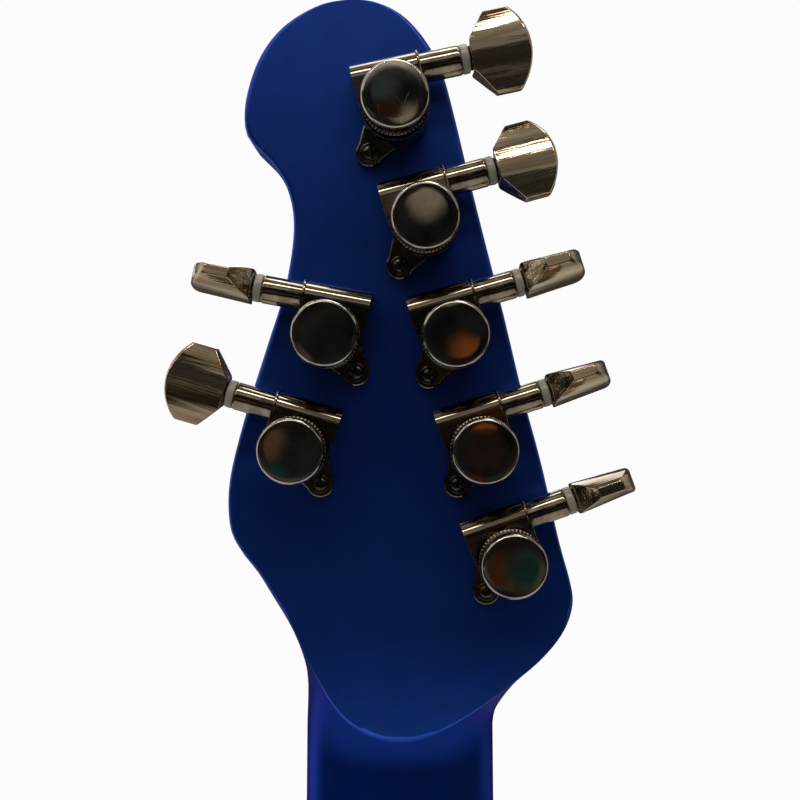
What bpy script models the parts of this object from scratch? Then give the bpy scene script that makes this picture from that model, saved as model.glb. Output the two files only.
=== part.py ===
"""Seven-string solid-body electric guitar with a five-and-two headstock.

+Z runs up the neck to the headstock, -Y is the playing side, +X is the treble side.
The origin is on the centreline at the nut, on the glue line of neck and fretboard.
All dimensions are in millimetres and are scaled to metres when a mesh is made.
"""

import math

import bmesh
import bpy
from mathutils import Vector

MM = 0.001
GAP = 0.3

# Neck and strings
SCALE_LENGTH = 647.7
FRETS = 24
NUT_HALF = 24.1
HEEL_HALF = 31.5
BOARD_THICK = 6.0
BOARD_RADIUS = 400.0
BOARD_END_Z = -493.0
HEEL_END_Z = -494.0
HEEL_BACK_Y = 19.7
NECK_BACK_Y = 14.8
NECK_BACK_Y_FRET12 = 16.4
FRET_HEIGHT = 1.2
STRING_RADII = (0.75, 0.585, 0.455, 0.33, 0.22, 0.17, 0.15)
NUT_PITCH = 6.8
BRIDGE_PITCH = 10.5

# Headstock
HEAD_FRONT_Y = 2.5
HEAD_BACK_Y = 17.0
HEAD_EDGE = 1.5
SCOOP_START_Z = -8.0
SCOOP_RATE = 0.0245

# Tuners: (post x, post z, shaft angle in degrees, button turn in degrees), from the lowest string up
BASS_TUNERS = (
    (-25.4, 47.4, 19.5, 84),
    (-18.8, 73.0, 17.4, 76),
    (-12.2, 98.7, 15.8, 77),
    (-5.5, 124.3, 14.8, -15),
    (1.1, 150.0, 11.8, 2),
)
TREBLE_TUNERS = (
    (16.5, 98.9, 10.6, 80),
    (24.2, 73.0, 16.4, 6),
)
WORM_OFFSET = 7.7
WORM_HEIGHT = 6.7
POST_RADIUS = 3.0
POST_WAIST = 2.6
STRING_POST_Y = -3.8

# Body
BODY_TOP_Y = 4.0
BODY_BACK_Y = 47.0
BODY_EDGE = 5.0
POCKET_Y = 20.0
COVER_THICK = 2.0
STRAP_AT = ((-123.5, 25.5, -330.6), (0.0, 25.5, -774.0))

# Pickups, bridge and controls: plan places are (x, z)
PICKUP_NECK_Z = -517.5
PICKUP_BRIDGE_Z = -612.0
PICKUP_TOP_Y = -5.6
PLATE_TOP_Y = 1.2
PLATE_CENTRE_Z = -664.0
BRIDGE_WALL_Z = -689.0
STRING_ANCHOR_Y = -2.6
VOLUME_AT = (86.0, -662.0)
TONE_AT = (110.0, -704.0)
SELECTOR_AT = (108.0, -630.0)
SELECTOR_PIVOT_Y = 3.0
JACK_AT = (158.8, 26.0, -686.0)

scene_objects = list(bpy.data.objects)
for leftover in scene_objects:
    bpy.data.objects.remove(leftover, do_unlink=True)


# ---------------------------------------------------------------- materials


def material(name, colour, metallic, roughness):
    made = bpy.data.materials.new(name)
    made.use_nodes = True
    shader = made.node_tree.nodes["Principled BSDF"]
    shader.inputs["Base Color"].default_value = (*colour, 1.0)
    shader.inputs["Metallic"].default_value = metallic
    shader.inputs["Roughness"].default_value = roughness
    return made


PALETTE = {
    "satin_blue": ((0.012, 0.035, 0.16), 0.0, 0.38),
    "black_nickel": ((0.20, 0.18, 0.16), 1.0, 0.12),
    "lock_black_nickel": ((0.16, 0.15, 0.14), 1.0, 0.10),
    "post_steel": ((0.45, 0.44, 0.42), 1.0, 0.2),
    "rosewood": ((0.035, 0.018, 0.012), 0.0, 0.5),
    "nut_black": ((0.03, 0.03, 0.03), 0.0, 0.35),
    "string_nickel": ((0.62, 0.60, 0.56), 1.0, 0.25),
    "string_steel": ((0.70, 0.70, 0.70), 1.0, 0.2),
    "rod_steel": ((0.40, 0.40, 0.41), 1.0, 0.35),
    "black_metal": ((0.02, 0.02, 0.022), 1.0, 0.3),
    "black_plastic": ((0.012, 0.012, 0.012), 0.0, 0.4),
    "pot_steel": ((0.50, 0.50, 0.50), 1.0, 0.35),
    "cover_plastic": ((0.02, 0.02, 0.022), 0.0, 0.5),
}


# ---------------------------------------------------------------- mesh helpers


def mesh_object(name, points, faces, colour=None, origin=(0.0, 0.0, 0.0)):
    """A new object from points in millimetres, with its own origin and its own material."""
    base = Vector(origin)
    mesh = bpy.data.meshes.new(name)
    mesh.from_pydata([tuple((Vector(p) - base) * MM) for p in points], [], faces)
    shape = bmesh.new()
    shape.from_mesh(mesh)
    bmesh.ops.remove_doubles(shape, verts=shape.verts, dist=1e-7)
    bmesh.ops.recalc_face_normals(shape, faces=shape.faces)
    shape.to_mesh(mesh)
    shape.free()
    obj = bpy.data.objects.new(name, mesh)
    obj.location = base * MM
    bpy.context.scene.collection.objects.link(obj)
    if colour:
        tint, metallic, roughness = PALETTE[colour]
        mesh.materials.append(material(name, tint, metallic, roughness))
    return obj


def finish(obj, angle=35.0):
    """Smooth shading with sharp edges above the angle."""
    for face in obj.data.polygons:
        face.use_smooth = True
    obj.data.set_sharp_from_angle(angle=math.radians(angle))
    return obj


def combine(target, tools, operation):
    """Joins or cuts closed tools into the target, one at a time, and removes them."""
    for tool in tools:
        step = target.modifiers.new("step", "BOOLEAN")
        step.operation = operation
        step.solver = "EXACT"
        step.object = tool
        bpy.context.view_layer.update()
        graph = bpy.context.evaluated_depsgraph_get()
        mesh = bpy.data.meshes.new_from_object(target.evaluated_get(graph))
        target.modifiers.clear()
        old = target.data
        name = old.name
        own = old.materials[0] if old.materials else None
        target.data = mesh
        bpy.data.meshes.remove(old)
        mesh.name = name
        mesh.materials.clear()
        if own:
            mesh.materials.append(own)
        bpy.data.objects.remove(tool, do_unlink=True)
    shape = bmesh.new()
    shape.from_mesh(target.data)
    bmesh.ops.dissolve_degenerate(shape, dist=2e-6, edges=shape.edges)
    for face in shape.faces:
        face.material_index = 0
    shape.to_mesh(target.data)
    shape.free()
    return target


def loft(sections, closed_ends=True):
    """Points and quads through equal-length closed sections, with the two ends capped."""
    count = len(sections[0])
    points = [p for section in sections for p in section]
    faces = []
    for i in range(len(sections) - 1):
        for j in range(count):
            k = (j + 1) % count
            faces.append((i * count + j, i * count + k, (i + 1) * count + k, (i + 1) * count + j))
    if closed_ends:
        last = (len(sections) - 1) * count
        faces.append(tuple(reversed(range(count))))
        faces.append(tuple(range(last, last + count)))
    return points, faces


def lathe(profile, segments, centre, axis, side, ring=True):
    """A profile of (radius, height) turned round an axis. A ring profile closes on itself."""
    axis = Vector(axis).normalized()
    side = Vector(side)
    side = (side - axis * side.dot(axis)).normalized()
    other = axis.cross(side)
    centre = Vector(centre)
    points = []
    rows = []
    for radius, height in profile:
        if radius < 1e-6:
            rows.append([len(points)] * segments)
            points.append(centre + axis * height)
            continue
        row = []
        for k in range(segments):
            turn = 2 * math.pi * k / segments
            row.append(len(points))
            points.append(
                centre + axis * height + (side * math.cos(turn) + other * math.sin(turn)) * radius
            )
        rows.append(row)
    faces = []
    spans = len(rows) if ring else len(rows) - 1
    for i in range(spans):
        low = rows[i]
        high = rows[(i + 1) % len(rows)]
        for k in range(segments):
            m = (k + 1) % segments
            corners = []
            for index in (low[k], low[m], high[m], high[k]):
                if index not in corners:
                    corners.append(index)
            if len(corners) > 2:
                faces.append(tuple(corners))
    if not ring:
        if profile[0][0] > 1e-6:
            faces.append(tuple(rows[0]))
        if profile[-1][0] > 1e-6:
            faces.append(tuple(rows[-1]))
    return points, faces


def turned(name, profile, segments, centre, axis, side, colour=None, origin=None, ring=True):
    points, faces = lathe(profile, segments, centre, axis, side, ring)
    return mesh_object(name, points, faces, colour, origin if origin is not None else centre)


def prism(name, outline, low, high, colour=None, origin=(0.0, 0.0, 0.0)):
    """A plan outline of (x, z) points between two y levels."""
    points, faces = loft([[(x, low, z) for x, z in outline], [(x, high, z) for x, z in outline]])
    return mesh_object(name, points, faces, colour, origin)


def box(name, x0, x1, y0, y1, z0, z1, colour=None, origin=(0.0, 0.0, 0.0)):
    return prism(name, [(x0, z0), (x1, z0), (x1, z1), (x0, z1)], y0, y1, colour, origin)


def smooth_curve(points, steps, closed=True):
    """A Catmull-Rom curve through plan points, the same number of steps on each span."""
    count = len(points)
    spans = count if closed else count - 1
    result = []
    for i in range(spans):
        if closed:
            p0, p1, p2, p3 = (points[(i + j) % count] for j in (-1, 0, 1, 2))
        else:
            p0, p1, p2, p3 = (points[min(max(i + j, 0), count - 1)] for j in (-1, 0, 1, 2))
        for s in range(steps):
            t = s / steps
            result.append(
                tuple(
                    0.5
                    * (
                        2 * b
                        + (c - a) * t
                        + (2 * a - 5 * b + 4 * c - d) * t * t
                        + (3 * b - a - 3 * c + d) * t * t * t
                    )
                    for a, b, c, d in zip(p0, p1, p2, p3)
                )
            )
    if not closed:
        result.append(tuple(points[-1]))
    return result


def inset(outline, distance):
    """The closed plan outline moved inwards along its own normals."""
    area = sum(
        a[0] * b[1] - b[0] * a[1] for a, b in zip(outline, outline[1:] + outline[:1])
    )
    sign = 1.0 if area > 0 else -1.0
    moved = []
    for i, here in enumerate(outline):
        before = outline[i - 1]
        after = outline[(i + 1) % len(outline)]
        dx = after[0] - before[0]
        dz = after[1] - before[1]
        length = math.hypot(dx, dz)
        moved.append((here[0] - sign * dz / length * distance, here[1] + sign * dx / length * distance))
    return moved


def rounded_rect(half_x, half_z, radius, centre_x, centre_z, steps=3):
    outline = []
    for cx, cz, start in ((1, 1, 0), (-1, 1, 90), (-1, -1, 180), (1, -1, 270)):
        for s in range(steps + 1):
            turn = math.radians(start + 90 * s / steps)
            outline.append(
                (
                    centre_x + cx * (half_x - radius) + radius * math.cos(turn),
                    centre_z + cz * (half_z - radius) + radius * math.sin(turn),
                )
            )
    return outline


# ---------------------------------------------------------------- neck and headstock

TREBLE_EDGE = (
    (NUT_HALF, 0), (23.8, 12), (25.2, 22), (28.3, 31), (33.6, 40.8), (38.5, 47.4), (41.1, 53.5),
    (41.0, 64.5), (37.1, 80), (31.6, 97), (27.3, 110.5), (25.2, 124), (26.4, 133), (30.2, 139.5),
    (34.7, 144), (36.5, 148), (36.1, 155), (32.9, 164.0), (27.3, 171.0), (19.0, 175.8), (11.0, 177.0),
)
BASS_EDGE = (
    (-NUT_HALF, 0), (-25.2, 5), (-30.0, 12.5), (-36.6, 20.5), (-40.9, 27.5), (-42.1, 34), (-41.2, 40),
    (-38.4, 50), (-34.0, 68.5), (-29.3, 85.5), (-24.6, 104.5), (-19.1, 125.5), (-15.4, 140),
    (-12.8, 150.5), (-10.1, 160), (-6.4, 167.3), (-0.9, 173.4), (5.2, 176.4), (11.0, 177.0),
)
SIDES_MEET_Z = 150.0


def side_at(edge, z):
    """The x of a headstock side at a height."""
    for a, b in zip(edge, edge[1:]):
        if a[1] <= z <= b[1]:
            return a[0] + (b[0] - a[0]) * (z - a[1]) / max(b[1] - a[1], 1e-9)
    return edge[-1][0]


def spread(edge, count):
    """Evenly spaced points on an open run of plan points."""
    lengths = [math.dist(a, b) for a, b in zip(edge, edge[1:])]
    total = sum(lengths)
    result = []
    for k in range(count + 1):
        want = total * k / count
        i = 0
        while i < len(lengths) - 1 and want > lengths[i]:
            want -= lengths[i]
            i += 1
        t = want / lengths[i]
        result.append(tuple(a + (b - a) * t for a, b in zip(edge[i], edge[i + 1])))
    return result


def neck_half(z):
    return NUT_HALF + (HEEL_HALF - NUT_HALF) * z / BOARD_END_Z


def neck_shape(z):
    """Depth of the back and its roundness at a height: squared at the heel, D-shaped above it."""
    along = min(max(-z / 323.0, 0.0), 1.0)
    depth = NECK_BACK_Y + (NECK_BACK_Y_FRET12 - NECK_BACK_Y) * along
    heel = min(max((-z - 392.0) / 32.0, 0.0), 1.0)
    heel = heel * heel * (3 - 2 * heel)
    depth += (HEEL_BACK_Y - depth) * heel
    if z > SCOOP_START_Z:
        depth += SCOOP_RATE * (z - SCOOP_START_Z) ** 2
    return depth, 2.2 + 24.0 * heel


def half_section(half, depth, power, inner):
    """Back points from the side to the middle: (across, y), with the headstock's flat back cutting in."""
    flat = HEAD_BACK_Y if inner else 1e9
    if depth > flat:
        corner = math.asin((flat / depth) ** (power / 2))
    else:
        corner = math.radians(90 - 30 * min((HEAD_BACK_Y - min(depth, HEAD_BACK_Y)) / 2.2, 1.0))
    points = []
    for k in range(6):
        turn = corner * (k / 5.0) ** 1.4
        across = half * math.cos(turn) ** (2 / power)
        points.append((across, min(depth * math.sin(turn) ** (2 / power), flat)))
    edge = points[-1][0]
    for k in range(1, 5):
        if depth > flat:
            points.append((edge * (1 - k / 4.0), flat))
        else:
            turn = corner + (math.pi / 2 - corner) * k / 4.0
            across = half * math.cos(turn) ** (2 / power) if k < 4 else 0.0
            points.append((across, depth * math.sin(turn) ** (2 / power)))
    return points


def slab_half(half, front, edge):
    """Half of the headstock's own section, with both long edges rounded."""
    points = []
    for k in range(6):
        if k == 0:
            points.append((half, (front + HEAD_BACK_Y) / 2))
            continue
        turn = math.radians(90 * (k - 1) / 4.0)
        points.append(
            (
                half - edge * (1 - math.cos(turn)),
                HEAD_BACK_Y - edge * (1 - math.sin(turn)),
            )
        )
    rim = points[-1][0]
    for k in range(1, 5):
        points.append((rim * (1 - k / 4.0), HEAD_BACK_Y))
    return points


def neck_section(right, left):
    """A closed section between a treble-side and a bass-side plan point."""
    mid = ((right[0] + left[0]) / 2, (right[1] + left[1]) / 2)
    z = mid[1]
    half = math.dist(right, left) / 2
    across = ((right[0] - left[0]) / (2 * half), (right[1] - left[1]) / (2 * half))
    ramp = min(max((z - 5.0) / 9.0, 0.0), 1.0)
    front = HEAD_FRONT_Y * ramp * ramp * (3 - 2 * ramp)
    depth, power = neck_shape(min(z, 60.0))
    round_half = half_section(half, depth, power, z > SCOOP_START_Z - 20)
    blend = min(max((z - 12.0) / 26.0, 0.0), 1.0)
    blend = blend * blend * (3 - 2 * blend)
    square = slab_half(half, front, min(HEAD_EDGE, half * 0.45))
    edge = 0.15 + (HEAD_EDGE - 0.15) * blend
    back = []
    for a, b in zip(round_half, square):
        back.append((a[0] * (1 - blend) + b[0] * blend, a[1] * (1 - blend) + b[1] * blend))
    back[0] = (half, max(back[0][1], front + edge))
    edge = min(edge, half * 0.45)
    nose = [(half - edge, front), (half - edge * 0.3, front + edge * 0.3)]
    face = [(half * t - edge * t, front) for t in (0.0, 0.55)]
    treble = face + nose + back
    bass = [(-a, y) for a, y in reversed(treble[1:-1])]
    return [(mid[0] + across[0] * a, y, mid[1] + across[1] * a) for a, y in treble + bass]


def build_neck():
    right_curve = smooth_curve(TREBLE_EDGE, 6, closed=False)
    left_curve = smooth_curve(BASS_EDGE, 6, closed=False)
    stations = []
    for z in (HEEL_END_Z, -424, -418, -412, -406, -400, -392, -323, -215, -110, -40, -14):
        stations.append(((neck_half(z), z), (-neck_half(z), z)))
    for z in (-8, -5, -2.5, 0):
        stations.append(((neck_half(z), z), (-neck_half(z), z)))
    z = 2.0
    while z < SIDES_MEET_Z:
        stations.append(((side_at(right_curve, z), z), (side_at(left_curve, z), z)))
        z += 2.7 if z < 30 else (4.2 if z < 56 or z > 126 else 10.0)
    right_tip = [p for p in right_curve if p[1] > SIDES_MEET_Z]
    left_tip = [p for p in left_curve if p[1] > SIDES_MEET_Z]
    for a, b in list(zip(spread(right_tip, 8), spread(left_tip, 8)))[:-1]:
        stations.append((a, b))
    points, faces = loft([neck_section(a, b) for a, b in stations])
    neck = mesh_object("neck", points, faces, "satin_blue")
    tools = []
    for x, z, _, _ in BASS_TUNERS + TREBLE_TUNERS:
        tools.append(turned("tool", [(5.1, -20), (5.1, 20)], 16, (x, 10, z), (0, 1, 0), (1, 0, 0), ring=False))
    tools.append(box("tool", -3.3, 3.3, -5.0, 9.6, -500, -6))
    return finish(combine(neck, tools, "DIFFERENCE"), 30)


def build_truss_rod():
    points, faces = loft(
        [[(x, y, z) for x, y in ((-2.9, 0.5), (2.9, 0.5), (2.9, 9.2), (-2.9, 9.2))] for z in (-493, -7)]
    )
    rod = mesh_object("truss_rod", points, faces, "rod_steel")
    socket = turned("tool", [(2.1, -8), (2.1, 8)], 6, (0, 4.9, -493), (0, 0, 1), (1, 0, 0), ring=False)
    return finish(combine(rod, [socket], "DIFFERENCE"))


# ---------------------------------------------------------------- fretboard and nut


def crown(x):
    """How far the playing surface falls away from the middle."""
    return x * x / (2 * BOARD_RADIUS)


def fret_z(number):
    return -SCALE_LENGTH * (1 - 2 ** (-number / 12.0))


def build_fretboard():
    stations = [(0.0, 0.0)]
    for number in range(1, FRETS + 1):
        centre = fret_z(number)
        stations += [(centre + 1.2, 0.0), (centre + 0.5, 1.0), (centre - 0.5, 1.0), (centre - 1.2, 0.0)]
    stations.append((BOARD_END_Z, 0.0))
    sections = []
    for z, lift in stations:
        half = neck_half(z)
        section = [(half, -GAP, z), (half, -BOARD_THICK + crown(half), z)]
        for part in (0.955, 0.4, -0.4, -0.955):
            x = half * part
            section.append((x, -BOARD_THICK + crown(x) - lift * FRET_HEIGHT, z))
        section += [(-half, -BOARD_THICK + crown(half), z), (-half, -GAP, z)]
        sections.append(section)
    points, faces = loft(sections)
    return finish(mesh_object("fretboard", points, faces, "rosewood"))


def string_x(number, at_bridge):
    return (number - 3) * (BRIDGE_PITCH if at_bridge else NUT_PITCH)


def string_nut_y(number):
    return -7.65 + crown(string_x(number, False)) - STRING_RADII[number]


def string_saddle_y(number):
    return -10.2 + crown(string_x(number, True)) - STRING_RADII[number]


def build_nut():
    half = NUT_HALF - 0.1
    top = [(-half, -7.6)]
    for number, radius in enumerate(STRING_RADII):
        x = string_x(number, False)
        land = -8.7 + crown(x)
        floor = string_nut_y(number) + radius + GAP
        top += [(x - radius - 0.45, land), (x - radius - 0.3, floor)]
        top += [(x + radius + 0.3, floor), (x + radius + 0.45, land)]
    top.append((half, -7.6))
    outline = [(-half, -GAP)] + top + [(half, -GAP)]
    points, faces = loft([[(x, y, z) for x, y in outline] for z in (0.3, 4.3)])
    return finish(mesh_object("nut", points, faces, "nut_black"))


# ---------------------------------------------------------------- tuners


def tuner_axes(angle, side):
    """Local axes of a tuner: outwards along the shaft, towards the worm, and away from the back."""
    turn = math.radians(angle)
    out = Vector((side * math.cos(turn), 0, math.sin(turn)))
    worm = Vector((-side * math.sin(turn), 0, math.cos(turn)))
    return out, worm, Vector((0, 1, 0))


def local_loft(sections, base, axes):
    points, faces = loft(sections)
    out, worm, up = axes
    return [base + out * u + worm * w + up * h for u, w, h in points], faces


def housing_plan(shrink, worm_side):
    """The housing seen along the post: a half circle at one end, squared where the worm lies."""
    radius = 7.7 - shrink
    plan = []
    for k in range(9):
        turn = math.radians(180 + 22.5 * k)
        plan.append((radius * math.cos(turn), radius * math.sin(turn)))
    plan += [(6.9 - shrink, 3.6), (6.9 - shrink, worm_side), (-8.3 + shrink, worm_side), (-8.2 + shrink, 3.6)]
    return plan


def build_housing(name, base, axes):
    out, worm, up = axes
    barrel = base + worm * WORM_OFFSET + up * WORM_HEIGHT
    levels = ((GAP, 0.0, 11.5), (7.2, 0.0, 11.5), (9.4, 0.0, 10.6), (10.6, 0.3, 8.6))
    sections = [[(u, w, h) for u, w in housing_plan(shrink, worm_side)] for h, shrink, worm_side in levels]
    points, faces = local_loft(sections, base, axes)
    housing = mesh_object(name, points, faces, "black_nickel", base)
    bar = [(0.0, 5.2), (4.4, 5.2), (4.4, 7.4), (3.3, 7.4), (3.3, 16.8), (0.0, 16.8)]
    tube = turned("tool", bar, 12, barrel, out, worm, ring=False)
    sleeve = [(0.0, 1.0), (4.8, 1.0), (4.8, -14.8), (6.6, -14.8), (6.6, -16.4), (0.0, -16.4)]
    bushing = turned("tool", sleeve, 12, base, up, out, ring=False)
    plan = []
    for k in range(6):
        turn = math.radians(135 + 36 * k)
        plan.append((-7.6 + 3.3 * math.cos(turn), -7.2 + 3.3 * math.sin(turn)))
    plan += [(0.5, -5.0), (-5.0, 1.0)]
    points, faces = local_loft([[(u, w, h) for u, w in plan] for h in (GAP + 0.05, 2.3)], base, axes)
    tab = mesh_object("tool", points, faces)
    combine(housing, [tube, bushing, tab], "UNION")
    room = [
        (0.0, -17.5), (3.3, -17.5), (3.3, 1.6), (5.8, 1.6), (5.8, 9.0), (3.3, 9.0), (3.3, 12.5), (0.0, 12.5),
    ]
    room = turned("tool", room, 12, base, up, out, ring=False)
    shell = [(0.0, -7.2), (2.5, -7.2), (2.5, 5.0), (1.9, 5.0), (1.9, 17.5), (0.0, 17.5)]
    channel = turned("tool", shell, 8, barrel, out, worm, ring=False)
    combine(housing, [room, channel], "DIFFERENCE")
    return finish(housing)


def build_key(name, base, axes, button_turn):
    out, worm, up = axes
    barrel = base + worm * WORM_OFFSET + up * WORM_HEIGHT
    rod = [(0.0, -6.8), (2.0, -6.8), (2.0, 4.6), (1.5, 4.6), (1.5, 20.5), (0.0, 20.5)]
    key = turned(name, rod, 8, barrel, out, worm, "black_nickel", ring=False)
    turn = math.radians(button_turn)
    wide = worm * math.cos(turn) + up * math.sin(turn)
    thick = up * math.cos(turn) - worm * math.sin(turn)
    stations = (
        (19.0, 3.3, 3.3), (20.0, 5.2, 3.6), (23.4, 9.4, 3.6), (29.2, 9.5, 2.9), (31.0, 7.0, 2.8),
        (32.0, 3.2, 2.7),
    )
    sections = []
    for u, half, rise in stations:
        corner = min(1.1, half * 0.3)
        loop = [(half, rise - corner), (half - corner, rise), (corner - half, rise), (-half, rise - corner)]
        loop += [(-a, -b) for a, b in loop]
        sections.append([barrel + out * u + wide * a + thick * b for a, b in loop])
    points, faces = loft(sections)
    button = mesh_object("tool", points, faces)
    return finish(combine(key, [button], "UNION"))


def build_post(name, base, axes):
    out, _, up = axes
    wrap = HEAD_BACK_Y - STRING_POST_Y
    profile = [
        (0.0, -26.5), (2.8, -26.5), (POST_RADIUS, -wrap - 2.2), (POST_WAIST, -wrap - 1.6),
        (POST_WAIST, -wrap + 1.6), (POST_RADIUS, -wrap + 2.2), (POST_RADIUS, 5.0), (5.4, 5.0), (5.4, 8.4),
        (2.6, 8.4), (2.6, 14.0), (0.0, 14.0),
    ]
    return finish(turned(name, profile, 10, base, up, out, "post_steel", ring=False))


def build_lock_knob(name, base, axes):
    out, _, up = axes
    profile = [
        (3.0, 11.1), (6.4, 11.1), (6.4, 13.2), (7.5, 13.2), (7.5, 19.2), (7.0, 19.8), (0.0, 19.8),
        (0.0, 14.6), (3.0, 14.6),
    ]
    return finish(turned(name, profile, 18, base, up, out, "lock_black_nickel"))


def build_tuners():
    for side, label, tuners in ((-1, "bass", BASS_TUNERS), (1, "treble", TREBLE_TUNERS)):
        for number, (x, z, angle, button_turn) in enumerate(tuners, 1):
            base = Vector((x, HEAD_BACK_Y, z))
            axes = tuner_axes(angle, side)
            tag = f"{label}_{number}"
            build_housing(f"tuner_housing_{tag}", base, axes)
            build_key(f"tuner_key_{tag}", base, axes, button_turn)
            build_post(f"tuner_post_{tag}", base, axes)
            build_lock_knob(f"lock_knob_{tag}", base, axes)


# ---------------------------------------------------------------- strings


def tube(path, radius, sides=6):
    """A round tube along a path, each section square to the path."""
    sections = []
    across = Vector((1, 0, 0))
    for i, here in enumerate(path):
        before = path[max(i - 1, 0)]
        after = path[min(i + 1, len(path) - 1)]
        along = (after - before).normalized()
        across = (across - along * across.dot(along)).normalized()
        other = along.cross(across)
        section = []
        for k in range(sides):
            turn = 2 * math.pi * (k + 0.5) / sides
            section.append(here + (across * math.cos(turn) + other * math.sin(turn)) * radius)
        sections.append(section)
    return loft(sections)


def build_strings():
    posts = [(x, z, 1) for x, z, _, _ in BASS_TUNERS] + [(x, z, -1) for x, z, _, _ in TREBLE_TUNERS]
    for number, (radius, (px, pz, side)) in enumerate(zip(STRING_RADII, posts)):
        bx = string_x(number, True)
        nx = string_x(number, False)
        saddle_y = string_saddle_y(number)
        nut_y = string_nut_y(number)
        slope = (saddle_y - nut_y) / -SCALE_LENGTH
        behind = 5.0
        path = [
            Vector((bx, STRING_ANCHOR_Y, BRIDGE_WALL_Z - 2.5)),
            Vector((bx, STRING_ANCHOR_Y, BRIDGE_WALL_Z + 3.0)),
            Vector((bx, saddle_y - slope * -behind, -SCALE_LENGTH - behind)),
            Vector((nx, nut_y, 0.5)),
            Vector((nx, nut_y, 4.0)),
        ]
        wrap = POST_WAIST + GAP + radius
        for k in range(9):
            turn = math.radians(-2 + 27 * k)
            path.append(
                Vector((px + side * wrap * math.cos(turn), STRING_POST_Y, pz + wrap * math.sin(turn)))
            )
        points, faces = tube(path, radius)
        colour = "string_nickel" if number < 4 else "string_steel"
        finish(mesh_object(f"string_{number + 1}", points, faces, colour), 60)


# ---------------------------------------------------------------- body

BODY_OUTLINE = (
    (-31, -428), (-47, -424), (-67, -410), (-84, -388), (-98, -361), (-110, -340), (-123.5, -331), (-136, -339),
    (-144, -364), (-146, -402), (-139, -448), (-123, -496), (-114, -540), (-119, -584), (-136, -630),
    (-154, -674), (-158, -706), (-148, -740), (-118, -763), (-66, -772), (0, -774), (66, -772),
    (118, -761), (148, -734), (158.5, -700), (158.5, -672), (146, -624), (125, -580), (112, -538),
    (115, -498), (128, -456), (137, -420), (136, -394), (125, -377), (110, -381), (96, -399),
    (81, -420), (62, -435), (47, -441), (34, -442), (0, -436),
)
CAVITY = (
    (44, -636), (62, -606), (100, -610), (134, -640), (142, -684), (130, -722), (96, -738), (56, -722),
    (44, -690),
)


def build_body():
    outline = smooth_curve(BODY_OUTLINE, 3)
    sections = []
    rounding = ((BODY_EDGE, 0.0), (0.3 * BODY_EDGE, 0.3 * BODY_EDGE), (0.0, BODY_EDGE))
    for depth, level in rounding:
        sections.append([(x, BODY_TOP_Y + level, z) for x, z in inset(outline, depth)])
    for depth, level in reversed(rounding):
        sections.append([(x, BODY_BACK_Y - level, z) for x, z in inset(outline, depth)])
    points, faces = loft(sections)
    body = mesh_object("body", points, faces, "satin_blue")
    low = neck_half(-400) + GAP + 0.05
    high = neck_half(HEEL_END_Z) + GAP + 0.05
    pocket = [(-low, -400), (low, -400), (high, HEEL_END_Z - GAP), (-high, HEEL_END_Z - GAP)]
    tools = [prism("tool", pocket, -20, POCKET_Y)]
    for centre in (PICKUP_NECK_Z, PICKUP_BRIDGE_Z):
        tools.append(prism("tool", rounded_rect(44, 20.5, 4, 0, centre, 2), -20, 26))
    cavity = smooth_curve(CAVITY, 3)
    tools.append(prism("tool", cavity, 12, 60))
    tools.append(prism("tool", inset(cavity, -5), BODY_BACK_Y - COVER_THICK - GAP, 60))
    for (x, z), radius in ((VOLUME_AT, 5.0), (TONE_AT, 5.0), (SELECTOR_AT, 6.4)):
        bore = [(radius, -20), (radius, 20)]
        tools.append(turned("tool", bore, 16, (x, 5, z), (0, 1, 0), (1, 0, 0), ring=False))
    bore = [(8.3, -45), (8.3, -2.2), (12.6, -2.2), (12.6, 20)]
    tools.append(turned("tool", bore, 20, JACK_AT, (1, 0, 0), (0, 1, 0), ring=False))
    combine(body, tools, "DIFFERENCE")
    return finish(body, 30)


def build_cover():
    outline = inset(smooth_curve(CAVITY, 3), -4.6)
    return finish(prism("control_cover", outline, BODY_BACK_Y - COVER_THICK, BODY_BACK_Y, "cover_plastic"))


def build_strap_button(name, centre, axis):
    profile = [
        (0.0, 0.35), (6.2, 0.35), (4.0, 2.4), (3.6, 4.6), (4.6, 6.8), (7.8, 8.6), (8.0, 10.0),
        (7.4, 11.0), (0.0, 11.0),
    ]
    return finish(turned(name, profile, 16, centre, axis, (0, 1, 0), "black_metal", ring=False))


# ---------------------------------------------------------------- pickups, bridge, controls


def build_pickup(name, centre):
    plan = rounded_rect(41.5, 18.5, 2.5, 0, centre, 2)
    step = rounded_rect(43.0, 19.5, 2.5, 0, centre, 2)
    sections = [
        [(x, PICKUP_TOP_Y, z) for x, z in inset(plan, 0.8)],
        [(x, PICKUP_TOP_Y + 0.8, z) for x, z in plan],
        [(x, 12.0, z) for x, z in plan],
        [(x, 12.0, z) for x, z in step],
        [(x, 15.0, z) for x, z in step],
    ]
    points, faces = loft(sections)
    return finish(mesh_object(name, points, faces, "black_plastic"))


def build_bridge():
    outline = rounded_rect(41.0, 27.0, 3.0, 0, PLATE_CENTRE_Z, 2)
    plate = prism("bridge_plate", outline, PLATE_TOP_Y, BODY_TOP_Y - GAP, "black_metal")
    wall = box("tool", -40.5, 40.5, PICKUP_TOP_Y, 2.4, BRIDGE_WALL_Z - 1.5, BRIDGE_WALL_Z + 1.5)
    combine(plate, [wall], "UNION")
    tools = []
    for number in range(7):
        x = string_x(number, True)
        bore = [(1.4, -6), (1.4, 6)]
        anchor = (x, STRING_ANCHOR_Y, BRIDGE_WALL_Z)
        tools.append(turned("tool", bore, 8, anchor, (0, 0, 1), (1, 0, 0), ring=False))
    return finish(combine(plate, tools, "DIFFERENCE"))


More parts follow.
